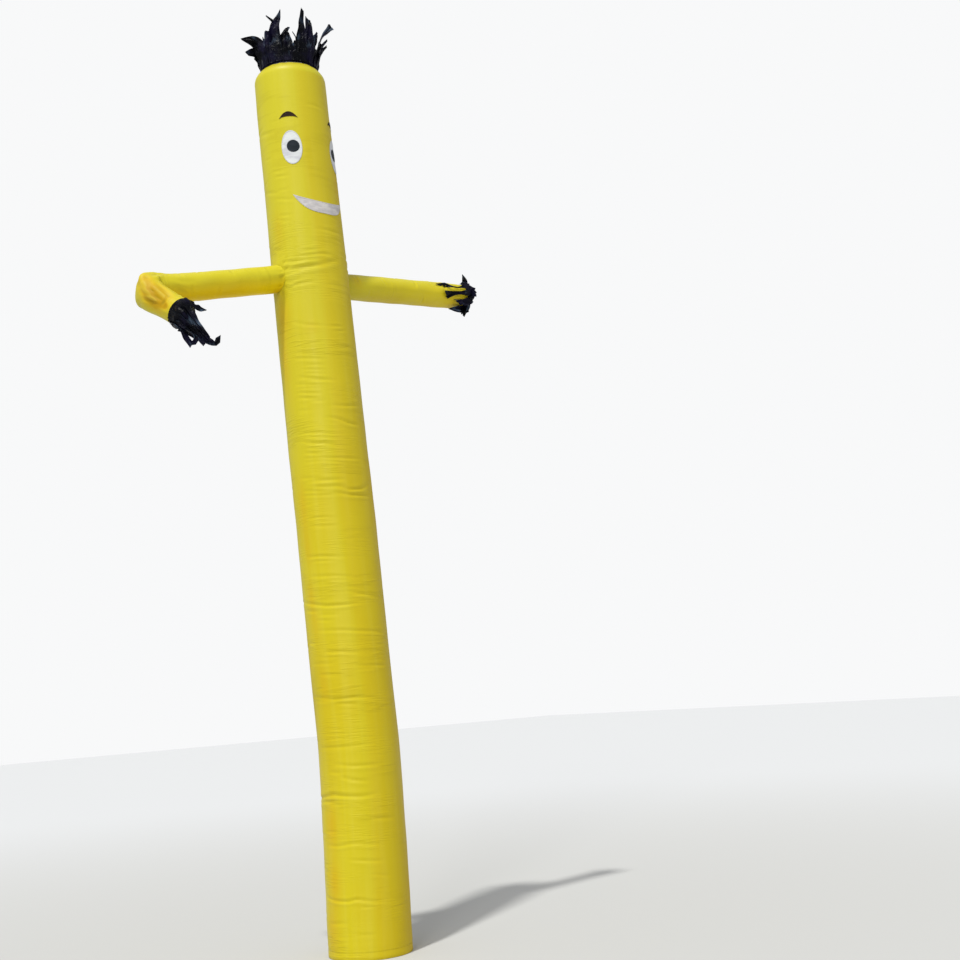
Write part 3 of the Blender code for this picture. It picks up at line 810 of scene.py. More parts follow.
# %% Tube rows
angle, height = np.meshgrid(angles, heights)
moves = fold_moves(angle, height)
hem_pull = 1.2 * MM * np.sin(np.radians(angle) * 23) * np.sin(np.radians(angle) * 7 + 1)
moves = moves + hem_pull * np.exp(-(((height - 0.062) / 0.016) ** 2))
moves = moves - 1.1 * MM * np.exp(-(((height - 0.046) / 0.004) ** 2))
radius = tube_radius(height) + moves + billow(angle, height) - inset[:, None]
wall_points = tube_centre(height) + outward(angle) * radius[..., None]

dome_angle, dome_rise = np.meshgrid(angles, rise)
dome_radius = SHOULDER_RADIUS * np.cos(dome_rise)
gather = 2.2 * MM * np.exp(-(((dome_radius - 0.150) / 0.030) ** 2))
gather = gather * np.sin(np.radians(dome_angle) * 19) * (0.6 + 0.4 * np.sin(np.radians(dome_angle) * 5))
edge = fold_moves(angles, SHOULDER_HEIGHT) + billow(angles, SHOULDER_HEIGHT)
dome_radius = dome_radius * (1 + edge[None, :] / SHOULDER_RADIUS)
lift = DOME_RISE * np.sin(dome_rise) + gather
dome_points = tube_centre(SHOULDER_HEIGHT) + outward(dome_angle) * dome_radius[..., None]
dome_points = dome_points + UP * lift[..., None]
dome_points[-1] = dome_points[-1].mean(axis=0)

points = np.concatenate([wall_points, dome_points])
steps = np.linalg.norm(np.diff(points, axis=0), axis=2)[:, len(angles) // 2]
along = np.concatenate([[0], np.cumsum(steps)])
flat = np.stack(np.broadcast_arrays(angles[None, :] * DEGREE, along[:, None]), axis=-1)
print("the tube's cloth is", round(ROUND, 3), "m round and", round(along[-1], 3), "m long")

# %% [markdown]
# The tube's colour follows two marks. `fold` is about 1 deep in a crease and below 0 on the roll
# beside it, so the colour paints shade in the crease and a highlight on the roll. It is also raised
# under the right arm, where it paints the arm's shadow down the tube, and on the dome, where it paints
# shade. `warm` is a set of soft golden blots and a golden band of painted shade down the side of the
# tube that faces away from the lamps.

# %% Tube marks and sewing
BLOTS = (  # angle, height, half width in degrees, half height, strength
    (-87, 0.70, 12, 0.12, 0.55), (-86, 0.40, 12, 0.12, 0.55), (-84, 1.80, 10, 0.10, 0.30),
    (-80, 1.45, 9, 0.10, 0.35), (-88, 1.95, 9, 0.08, 0.35), (-86, 2.45, 8, 0.14, 0.35),
    (-84, 2.20, 8, 0.10, 0.30), (-40, 3.45, 12, 0.04, 0.15), (52, 0.60, 8, 0.30, 0.35),
    (50, 2.40, 8, 0.30, 0.30), (40, 4.35, 10, 0.10, 0.25), (-80, 4.05, 10, 0.10, 0.25),
    (-88, 3.55, 14, 0.12, 0.45), (-96, 3.30, 10, 0.20, 0.40), (-95, 0.15, 14, 0.12, 0.45),
    (120, 1.20, 14, 0.20, 0.35), (165, 2.60, 16, 0.22, 0.30), (-150, 3.40, 14, 0.20, 0.35),
    (140, 4.30, 16, 0.12, 0.30), (-140, 0.90, 20, 0.10, 0.40), (176, 0.30, 18, 0.12, 0.35),
)


def blots(angle, height):
    """How golden the cloth is at a place."""
    total = np.zeros(np.broadcast(angle, height).shape)
    for middle, level, wide, tall, strength in BLOTS:
        away = (angle - middle + 180) % 360 - 180
        total += strength * np.exp(-((away / wide) ** 2) - ((height - level) / tall) ** 2)
    # a golden band of painted shade down the side that faces away from the lamps, deeper towards its edge
    edge = angle + 24 + 3 * np.sin(3.1 * height)
    side = 1 / (1 + np.exp(-edge / 2.2)) - 1 / (1 + np.exp((100 - angle) / 9))
    return np.clip(total + 0.20 * side + 0.16 * np.clip((angle - 5) / 50, 0, 1) * side, 0, 0.8)


dome_marks = np.zeros_like(dome_radius)
# the edge of the right arm's painted shadow on the tube
SHADE_HEIGHTS = (3.18, 3.351, 3.463, 3.574, 3.68)  # these two come from the measuring script too
SHADE_ANGLES = (-101, -94.5, -89, -81, -72)
shoulder_line = np.interp(height, SHADE_HEIGHTS, SHADE_ANGLES)
painted_arm_shadow = 0.66 / (1 + np.exp((angle - shoulder_line) / 1.2)) * np.clip((height - 3.15) / 0.30, 0, 1)
painted_arm_shadow = painted_arm_shadow * (height < 3.76) * np.clip((angle + 132) / 14, 0, 1)
# the fold mark also paints the right arm's shadow and a darker dome
fold_mark = np.concatenate([painted_arm_shadow - moves / (5.0 * MM), 1.9 * np.sin(dome_rise) - gather / (7 * MM)])
warm_mark = np.concatenate([blots(angle, height), dome_marks])
tube = lay_cloth("tube_cloth", points, flat, fold=fold_mark, warm=warm_mark)
sew(tube)

ARM_RADIUS = 0.078
RIGHT_START, LEFT_START = tube_centre(3.816), tube_centre(3.770)
ELBOW = np.array((-1.148, 0.131, 3.590)) + BASE_CENTRE
CUFF_RIGHT = np.array((-1.065, -0.095, 3.423)) + BASE_CENTRE
CUFF_LEFT = np.array((1.210, 0.273, 3.932)) + BASE_CENTRE
# both ends of the middle line of the upper right arm and of the left arm, and the half width
UPPER_ARMS = ((RIGHT_START, ELBOW, 0.0775), (LEFT_START, CUFF_LEFT, ARM_RADIUS))
HOLE_MARGIN = 0.009  # how much smaller a hole is than its arm


def inside_arms(places):
    """True for the places that an arm covers, where the tube's cloth is cut away."""
    inside = np.zeros(len(places), dtype=bool)
    for start, end, half in UPPER_ARMS:
        way = (end - start) / np.linalg.norm(end - start)
        run = (places - start) @ way
        away = np.linalg.norm(places - start - run[:, None] * way, axis=1)
        inside |= (run > 0) & (away < half - HOLE_MARGIN)
    return inside


remove_faces(tube, inside_arms)
thicken(tube, CLOTH, -1)
HEM_STITCHES = (0.0965, 0.0925)  # both rows, from the turned-in edge of the hem
stands_for(tube, "body_tube", yellow_nylon("yellow_nylon_tube", ROUND, HEM_STITCHES))
surface_area(tube) / 2

# %% [markdown]
# ## The right arm
# The upper arm is full of air and nearly straight. At the elbow the cloth is kinked like a bent hose,
# and the slack forearm hangs forward. The arm is drawn as a row of oval sections along its middle
# line, a smooth cloth is laid through them, and its creases are drawn on it as on the tube, with the
# turn round the arm in degrees and the distance from the elbow in metres.

# %% Right arm sections
CUFF_RADIUS = 0.076
UPPER_LENGTH, FORE_LENGTH = 0.84, 0.2889  # about how far the right arm's cloth runs from the elbow


def unit(vector):
    return vector / np.linalg.norm(vector, axis=-1, keepdims=True)


def oval(middle, way, bend_axis, up, side, shift, turns, corners=0.0):
    """Points of an oval section square to a way. Turn 90 lies towards the bend's axis."""
    across = unit(np.cross(way, bend_axis))
    upright = np.cross(across, way)
    turns = np.radians(turns)[:, None]
    swell = 1 + corners * np.sin(2 * turns) ** 2
    up, side = up * swell, side * swell
    return middle + across * (shift + side * np.cos(turns)) + upright * up * np.sin(turns)


ARM_TURNS = np.linspace(-90, -450, 65)  # from the seam below, round by the top
RIGHT_SECTIONS = (  # distance from the elbow, half height, half width, shift to the outside
    (-1.050, 0.0760, 0.0760, 0.000), (-0.840, 0.0775, 0.0775, 0.000), (-0.620, 0.0780, 0.0780, 0.000),
    (-0.350, 0.0790, 0.0790, 0.000), (-0.170, 0.0810, 0.0800, 0.000), (-0.080, 0.0870, 0.0770, 0.004),
    (0.000, 0.0960, 0.0700, -0.022), (0.080, 0.0860, 0.0770, 0.004), (0.160, 0.0790, 0.0770, 0.000),
    (0.250, 0.0745, 0.0765, 0.000), (FORE_LENGTH, 0.0760, 0.0760, 0.000),
)
upper = unit(ELBOW - RIGHT_START)
fore = unit(CUFF_RIGHT - ELBOW)
bend_axis = unit(np.cross(upper, fore))
right_rings = []
for along_arm, up, side, shift in RIGHT_SECTIONS:
    way = upper if along_arm < 0 else fore if along_arm > 0 else unit(upper + fore)
    middle = ELBOW + (upper if along_arm < 0 else fore) * along_arm
    corners = 0.13 * math.exp(-((along_arm / 0.07) ** 2))
    right_rings.append(oval(middle, way, bend_axis, up, side, shift, ARM_TURNS, corners))
right_stations = [row[0] for row in RIGHT_SECTIONS]
print("the elbow turns by", round(math.degrees(math.acos(upper @ fore))), "degrees")

# %% [markdown]
# ## Where an arm meets the tube
# Each line of an arm's cloth runs back until it meets the tube. The meeting place is found by halving
# a stretch of the line until it ends on the tube's creased surface, which is how the arm's root gets
# the curve of a real sleeve. A seam stands up there, and the cloth is puckered beside it.

# %% Arm cloth


def root_stations(rings, stations, outer, inner):
    """For each line along an arm, the station where it crosses the tube's surface."""
    near_end, far_end = np.full(len(ARM_TURNS), inner), np.full(len(ARM_TURNS), outer)
    lines = np.arange(len(ARM_TURNS))
    for _ in range(22):
        middle = (near_end + far_end) / 2
        place = through(stations, rings, middle)[lines, lines]
        centre = tube_centre(place[:, 2])
        away = place[:, :2] - centre[:, :2]
        angle = np.degrees(np.arctan2(away[:, 0], -away[:, 1]))
        reach = np.hypot(*away.T) - tube_radius(place[:, 2]) - fold_moves(angle, place[:, 2])
        outside = reach - billow(angle, place[:, 2]) > 0.0008
        far_end, near_end = np.where(outside, middle, far_end), np.where(outside, near_end, middle)
    return far_end


def round_arm(turn):
    """How far a turn lies from the arm's top on its flat cloth, in metres."""
    return -(turn + 270) * math.pi / 180 * ARM_RADIUS


def arm_cloth(name, rings, stations, roots, run, creases, blots, lit_to, front):
    """Lays a cloth through an arm's sections from its roots on. run gives its rows' distances, lit_to
    how strong the painted glow of light through the cloth on its lower side is at a distance, and
    front the turn that faces forward."""
    outer = run[-1]
    share = (run - run[0]) / (outer - run[0])
    places = roots[None, :] + share[:, None] * (outer - roots[None, :])
    lines = np.arange(len(ARM_TURNS))
    points = np.stack([through(stations, np.array(rings)[:, k], places[:, k]) for k in lines], axis=1)
    faces_x = np.roll(points[:, :-1], -1, axis=1) - np.roll(points[:, :-1], 1, axis=1)
    faces_x = np.concatenate([faces_x, faces_x[:, :1]], axis=1)
    normals = unit(np.cross(faces_x, np.gradient(points, axis=0)))
    normals[0] = normals[1]

    round_it = round_arm(ARM_TURNS)[None, :] + np.zeros_like(places)
    around = np.radians(ARM_TURNS)[None, :]
    from_root = places - roots[None, :]
    laps = [lap * 2 * math.pi * ARM_RADIUS for lap in (-1, 0, 1)]
    moves = sum(crease_moves(round_it + lap, places, creases) for lap in laps)
    # the seam stands up at the root, and the cloth is drawn in and puckered beside it
    pinch = np.sin(11 * around + 1) + 0.7 * np.sin(17 * around) + 0.5 * np.sin(5 * around + 2)
    moves = moves + MM * 0.8 * np.exp(-((from_root / 0.006) ** 2))
    moves = moves - MM * 1.2 * np.exp(-(((from_root - 0.020) / 0.012) ** 2))
    moves = moves + MM * 1.6 * pinch * np.exp(-from_root / 0.045) * np.clip(from_root / 0.01, 0, 1)
    # small gathers at the cuff, and a soft unevenness all along
    to_cuff = outer - places
    gather = np.sin(13 * around) + 0.6 * np.sin(21 * around + 1)
    moves = moves + MM * 1.0 * gather * np.exp(-to_cuff / 0.030)
    moves = moves + MM * (0.9 * np.sin(9 * places + 2 * around) + 0.7 * np.sin(31 * places - 3 * around))
    points = points + normals * moves[..., None]
    points[0] = through(stations, np.array(rings), places[0])[lines, lines]
    flat = np.stack([round_it, places], axis=-1)
    warm = np.zeros_like(places)
    for turn, place, wide, long, strength in blots:
        away = (ARM_TURNS[None, :] - turn + 180) % 360 - 180
        warm += strength * np.exp(-((away / wide) ** 2) - ((places - place) / long) ** 2)
    # painted glow of light through the cloth on the arm's lower side, stronger towards its front
    lit = np.clip((0.72 - np.sin(around)) / 0.75, 0, 1) * np.clip(lit_to(places), 0, 1)
    lit = lit * np.clip(0.60 + 0.52 * np.cos(around - math.radians(front)), 0, 1)
    return lay_cloth(name, points, flat, fold=-moves / (4.5 * MM), warm=np.clip(warm, 0, 1), lit=lit)


def arm_creases(rows):
    """Rows of (path as turn and distance), depth in mm, half width in mm."""
    for path, depth, width in rows:
        flat_path = [(round_arm(turn), place) for turn, place in path]
        yield flat_path, depth * MM, width * MM


print("arm tools are ready")

# %% [markdown]
# At the elbow two ridges run over the top, which have a depth below 0, and two troughs cross the
# outside, which gives it corners. Along the forearm the slack cloth falls in long streaks.

# %% Right arm
RIGHT_ARM_CREASES = (
    # turn -90 is the seam below, -180 the outside of the bend, -270 above and -360 the inside
    (((-285, -0.120), (-300, -0.050), (-312, 0.030), (-322, 0.090)), -7, 14),
    (((-262, -0.100), (-250, -0.040), (-238, 0.010)), -6, 14),
    (((-338, 0.020), (-318, 0.032), (-296, 0.024), (-276, 0.030)), 3, 13),
    (((-300, 0.070), (-314, 0.120), (-326, 0.180), (-330, 0.255)), 5, 12),
    (((-352, 0.070), (-352, 0.130), (-346, 0.200), (-340, 0.262)), 4.5, 13),
    (((-330, 0.105), (-338, 0.160), (-336, 0.230)), -2, 12),
    (((-380, 0.105), (-374, 0.180), (-368, 0.262)), 3, 11),
    (((-272, 0.080), (-280, 0.150), (-290, 0.240)), 3.5, 12),
    (((-240, 0.090), (-246, 0.150), (-250, 0.240)), 5, 11),
    (((-205, 0.080), (-200, 0.160), (-206, 0.255)), 5, 10),
    (((-164, 0.070), (-160, 0.150), (-168, 0.240)), 5, 10),
    (((-125, 0.080), (-122, 0.150), (-130, 0.250)), 5, 10),
    (((-344, 0.050), (-332, 0.110), (-322, 0.180), (-318, 0.235)), 3.2, 5),
    (((-356, 0.085), (-348, 0.150), (-338, 0.215)), 3, 5),
    (((-326, 0.040), (-312, 0.095), (-304, 0.165)), 3, 5),
    (((-300, 0.100), (-292, 0.170), (-294, 0.240)), 2.6, 5),
    (((-368, 0.110), (-364, 0.180), (-356, 0.250)), 2.6, 5),
    (((-340, -0.930), (-300, -0.905), (-262, -0.918)), 2.4, 7),
    (((-250, -0.905), (-226, -0.860), (-214, -0.800)), 2.6, 8),
    (((-225, -0.900), (-196, -0.868), (-176, -0.820)), 2.6, 8),
    (((-275, -0.900), (-262, -0.860), (-258, -0.810)), 2.2, 7),
    (((-345, 0.215), (-318, 0.225), (-290, 0.215)), 4, 9),
    (((-255, 0.200), (-225, 0.214), (-195, 0.206)), 4, 9),
    (((-200, -0.070), (-180, -0.050), (-150, -0.056)), 4, 11),
    (((-240, 0.040), (-200, 0.030), (-160, 0.042)), 4, 11),
    (((-320, -0.100), (-292, -0.086), (-268, -0.094)), 1.5, 11),
    (((-350, -0.070), (-330, -0.050), (-316, -0.046)), 1.2, 11),
    (((-20, -0.080), (-45, -0.050), (-70, -0.046)), 3, 11),
    (((-20, 0.056), (-48, 0.044), (-76, 0.048)), 3, 11),
    (((-230, -0.120), (-200, -0.170), (-170, -0.250)), 2, 13),
    (((-245, -0.110), (-236, -0.180), (-230, -0.270)), 2, 13),
    (((-300, -0.210), (-270, -0.200), (-240, -0.206)), 2, 9),
    (((-320, -0.330), (-290, -0.322), (-262, -0.330)), 2, 9),
    (((-290, -0.520), (-262, -0.512), (-238, -0.518)), 2, 9),
    (((-330, -0.640), (-300, -0.632)), 2, 8),
    (((-350, -0.450), (-320, -0.440)), 2, 9),
    (((-80, -0.560), (-50, -0.552)), 2, 9),
    (((-120, -0.300), (-84, -0.290)), 2.5, 10),
    (((-200, -0.420), (-160, -0.412)), 2, 10),
    (((-215, -0.240), (-170, -0.250)), 2.5, 10),
)
# Most of these golden and ochre blots paint shade: round the elbow and the forearm's folds, on the upper
# arm's lower side and under its root.
RIGHT_ARM_BLOTS = (  # turn, distance, half width in degrees, half length, strength
    (-330, 0.110, 36, 0.060, 0.90), (-348, 0.190, 34, 0.060, 0.80), (-305, 0.215, 26, 0.050, 0.45),
    (-300, 0.030, 36, 0.050, 0.55), (-285, 0.140, 28, 0.080, 0.55),
    (-335, 0.238, 13, 0.032, 0.90), (-170, -0.450, 42, 0.280, 0.55), (-150, -0.120, 50, 0.120, 0.60),
    (-60, -0.400, 60, 0.200, 0.45), (-320, -0.750, 30, 0.040, 0.40), (-200, 0.120, 50, 0.060, 0.40),
    (-135, -0.820, 42, 0.060, 0.55),
)
roots = root_stations(np.array(right_rings), right_stations, -0.62, -1.045)
run = graded(FORE_LENGTH + UPPER_LENGTH, 0.0042, 0.0062, lambda s: s < 0.05 or s > 0.70) - UPPER_LENGTH
arm_right = arm_cloth("arm_right_cloth", right_rings, right_stations, roots, run,
                      list(arm_creases(RIGHT_ARM_CREASES)), RIGHT_ARM_BLOTS,
                      lambda place: 0.95 - (place + 0.10) / 0.14, -180)
sew(arm_right)
thicken(arm_right, CLOTH, -1)
ARM_ROUND, ARM_LENGTH = 2 * math.pi * ARM_RADIUS, 1.15
arm_finish = yellow_nylon("yellow_nylon_arms", ARM_ROUND, ())
stands_for(arm_right, "arm_right", arm_finish)
surface_area(arm_right) / 2

# %% [markdown]
# ## The left arm
# The left arm is straight: air fills it to the cuff. It is laid in the same way, with fewer and
# shallower creases, half of them near its cuff.

# %% Left arm
LEFT_SECTIONS = (  # share of the way to the cuff, and half width
    (0.00, 0.078), (0.12, 0.0775), (0.35, 0.078), (0.60, 0.079), (0.82, 0.081), (0.94, 0.0785),
    (1.00, CUFF_RADIUS),
)
LEFT_ROOT_AT = 0.222  # about where the arm's cloth starts, from the tube's middle line
left_reach = np.linalg.norm(CUFF_LEFT - LEFT_START)
left_way = unit(CUFF_LEFT - LEFT_START)
left_rings = [oval(LEFT_START + left_way * left_reach * share, left_way, UP, half, half, 0, ARM_TURNS)
              for share, half in LEFT_SECTIONS]
left_stations = [share * left_reach for share, _ in LEFT_SECTIONS]
LEFT_ARM_CREASES = (
    (((-360, 0.330), (-330, 0.322), (-300, 0.330)), 3, 9),
    (((-20, 0.420), (-50, 0.430)), 2.5, 10),
    (((-350, 0.560), (-320, 0.548), (-290, 0.552)), 2.5, 9),
    (((-300, 0.70), (-262, 0.71)), 2.5, 9),
    (((-355, 0.830), (-325, 0.842), (-290, 0.836)), 3, 10),
    (((-30, 0.905), (-70, 0.915)), 3, 10),
    (((-340, 0.985), (-300, 0.992), (-270, 0.985)), 2.5, 9),
    (((-250, 0.460), (-200, 0.450)), 2.5, 9),
    (((-355, 1.110), (-320, 1.120), (-280, 1.112)), 3.5, 10),
    (((-180, 0.88), (-140, 0.87)), 3, 10),
    (((-330, 1.180), (-322, 1.240), (-326, 1.300)), 3, 9),
    (((-15, 1.190), (-8, 1.300)), 3.5, 9),
    (((-290, 1.210), (-284, 1.310)), 3.5, 9),
    (((-240, 1.200), (-248, 1.310)), 3, 9),
    (((-190, 1.220), (-196, 1.320)), 3, 9),
    (((-120, 1.200), (-112, 1.310)), 3, 9),
    (((-60, 1.210), (-52, 1.320)), 3.5, 9),
    (((-340, 1.262), (-300, 1.255)), 3.5, 8),
)
# The blot at -340 paints the tube's shadow on the top of the arm near its root.
LEFT_ARM_BLOTS = (
    (-90, 0.600, 60, 0.300, 0.35), (-60, 1.200, 50, 0.080, 0.40), (-340, 0.310, 40, 0.050, 0.35),
    (-100, 1.000, 50, 0.120, 0.30), (-200, 0.900, 40, 0.080, 0.30),
)
roots = root_stations(np.array(left_rings), left_stations, 0.42, 0.02)
run = graded(left_reach - LEFT_ROOT_AT, 0.0042, 0.0062, lambda s: s < 0.05 or s > 0.95) + LEFT_ROOT_AT
arm_left = arm_cloth("arm_left_cloth", left_rings, left_stations, roots, run,
                     list(arm_creases(LEFT_ARM_CREASES)), LEFT_ARM_BLOTS,
                     lambda place: (place - 0.3) * 0.5, 0)
sew(arm_left)
thicken(arm_left, CLOTH, -1)
stands_for(arm_left, "arm_left", arm_finish)
surface_area(arm_left) / 2

# %% [markdown]
# ## The black nylon
# The fringes are cut from black nylon of the same weave. Its dye is uneven, from black to a deep
# violet. A paler blue-grey highlight is painted on the ridges of its folds and towards some tips. It
# has little gloss.

# %% Black nylon


BLACK, VIOLET, BLUE_GREY_HIGHLIGHT = (0.0015, 0.0017, 0.0035, 1), (0.0050, 0.0040, 0.0170, 1), (0.045, 0.066, 0.100, 1)


def dark_nylon(name, deep, tinted, roughness):
    """A dark satin nylon whose dye varies from deep to tinted."""
    finish = Finish(name, Specular_IOR_Level=0.07)
    flat, place = finish.flat_map(), finish.place()
    fold = finish.mark("fold")
    grid = ripstop(finish, flat)
    crumple = finish.noise(flat, 1.0, 4.0, (34, 17, 1))
    lines = (1 - abs(crumple * 2 - 1) * 5).between(0.0, 1.0)
    normal = finish.bump(lines * 0.6 + crumple * 1.3, 0.0040)
    normal = finish.bump(grid, 0.00012, normal)
    cloud = finish.noise(place, 9.0, 3.0).between(0.42, 0.66)
    sheen = finish.noise(place, 16.0, 2.0, (1, 1, 0.6)).between(0.44, 0.62)
    colour = finish.mix(cloud, deep, tinted)
    # painted highlight, paler blue-grey, on the ridges of the folds and towards some tips
    colour = finish.mix((0 - fold).between(0.1, 0.9) * sheen, colour, BLUE_GREY_HIGHLIGHT)
    rough = roughness + cloud * 0.12 + grid * 0.03
    return finish.show(Base_Color=colour, Roughness=rough, Normal=normal)


black_finish = dark_nylon("black_nylon_fringe", BLACK, VIOLET, 0.30)
print("black nylon is ready")

# %% [markdown]
# ## Cutting a fringe
# A fringe is a band of cloth with strips, or tongues, cut into it. A tongue is laid as a small cloth
# along its own path. The path leaves the band the way the band faces,
# then passes through a few stops. The width of the tongue follows the path without turning about it,
# apart from the twist that it is given. Its cloth is cupped and pleated more the further it is from
# the band, as a strip that whips about in the air is.

# %% Strips
TONGUE_ROWS, TONGUE_COLUMNS = 24, 8
SEEN = np.array((outward(54.0), outward(-36.0), UP))


def tongue(root, start, side, stops, widths, twist, beat):
    """The points of one tongue, as rows by columns, its fold marks and its length.

    start is the way it sets off and side the way its width lies there. widths are evenly spread
    along it, twist is in degrees, and beat sets where its pleats lie."""
    first = root + start * 0.3 * np.linalg.norm(stops[0] - root)
    knots = np.array((root, first, *stops))
    reach = np.concatenate([[0], np.cumsum(np.linalg.norm(np.diff(knots, axis=0), axis=1))])
    s = np.linspace(0, 1, TONGUE_ROWS + 1)
    path = through(reach / reach[-1], knots, s)
    way = unit(np.gradient(path, axis=0))
    across = np.empty_like(way)
    for row, step in enumerate(way):
        side = unit(side - step * (side @ step))
        across[row] = side
    turn = np.radians(twist) * s**1.5
    across = across * np.cos(turn)[:, None] + np.cross(way, across) * np.sin(turn)[:, None]
    normal = np.cross(across, way)
    shape = np.interp(s, np.linspace(0, 1, len(widths)), widths)
    x = np.linspace(-1, 1, TONGUE_COLUMNS + 1)[None, :]
    later = np.clip(s * 1.8, 0, 1)[:, None]
    t = s[:, None]
    cup = 0.15 * (x * x - 0.4) * np.sin(2.6 * t + beat)
    pleat = 0.09 * np.sin(5.2 * x + 2.4 * t + 2 * beat) + 0.05 * np.sin(9.0 * x - 4.0 * t + beat)
    wave = 0.10 * np.sin(11.0 * t + 1.7 * beat + 0.9 * x) + 0.05 * np.sin(23.0 * t + beat - 1.6 * x)
    bulge = (cup + pleat + wave) * later
    points = path[:, None] + across[:, None] * (shape[:, None] * x / 2)[..., None]
    points = points + normal[:, None] * (bulge * np.maximum(shape, 0.02)[:, None])[..., None]
    slant = 0.45 * math.sin(3 * beat) * shape[:, None] * t**5 * x
    points = points + way[:, None] * slant[..., None]
    # a painted highlight towards the tips of some tongues, carried by the fold mark
    tip_highlight = 0.9 * t**3 * max(math.sin(1.3 * beat), 0.0)
    return points, bulge / 0.16 - tip_highlight, reach[-1]


def lay_fringe(name, centre, axis, radius, band, frame, tongues):
    """Lays a band and its tongues, joined in one mesh.

    A tongue is the turn of its root round the band, its stops from the band's far edge, in metres
    along the frame's three ways, its widths and its twist."""
    upright = unit(frame[2] if abs(axis[2]) < 0.99 else frame[1])
    upright = unit(upright - axis * (upright @ axis))
    across = np.cross(axis, upright)
    turns = np.linspace(0, 2 * math.pi, 73)[None, :]
    levels = np.linspace(0, 1, 5)[:, None]
    ruffle = MM * (0.7 * np.sin(17 * turns) + 0.5 * np.sin(26 * turns + 1)) * (0.4 + levels)
    reach = radius + ruffle - MM * 0.9 * np.exp(-(((levels - 0.5) / 0.15) ** 2))
    around = upright * np.cos(turns)[..., None] + across * np.sin(turns)[..., None]
    points = centre + axis * (levels * band)[..., None] + around * reach[..., None]
    flat = np.stack(np.broadcast_arrays(turns * radius, levels * band), axis=-1)
    pieces = [lay_cloth(name, points, flat, fold=0.0)]
    for k, (turn, stops, widths, twist) in enumerate(tongues):
        turn = math.radians(turn)
        out = upright * math.cos(turn) + across * math.sin(turn)
        side = across * math.cos(turn) - upright * math.sin(turn)
        root = centre + axis * band * 0.5 + out * (radius + 0.0012 + 0.0008 * (k % 3))
        stops = centre + axis * band + np.array(stops) @ frame
        laid, mark, long = tongue(root, axis, side, stops, widths, twist, 2.3 * k + 0.6)
        map_x = np.linspace(0, np.mean(widths), TONGUE_COLUMNS + 1)[None, :] + k * 0.09
        map_y = np.linspace(0, long, TONGUE_ROWS + 1)[:, None]
        grid = np.stack(np.broadcast_arrays(map_x, map_y), axis=-1)
        pieces.append(lay_cloth(f"{name}_{k}", laid, grid, fold=mark))
    bpy.ops.object.select_all(action="DESELECT")
    for piece in pieces:
        piece.select_set(True)
    bpy.context.view_layer.objects.active = pieces[0]
    bpy.ops.object.join()
    sew(pieces[0], 0.00005)
    thicken(pieces[0], 0.0009, 0)
    return pieces[0]


print("a tongue has", TONGUE_ROWS * TONGUE_COLUMNS, "faces")

# %% [markdown]
# ## The hair
# The hair is a fringe that stands on the head in a ring. Most strips are wider than their room on the
# ring, so they overlap in one dark mass near the head, and above it they end at uneven heights.
# Two tall spikes stand in front, two strips fall over to the dancer's right, and on the other side a
# twisted one ends in a flare. Stops are given to the right, to the front and upwards, as seen from
# where the camera stands. A separate measuring script worked out where some of the strips pass and
# end, and the rest was fitted in round them.

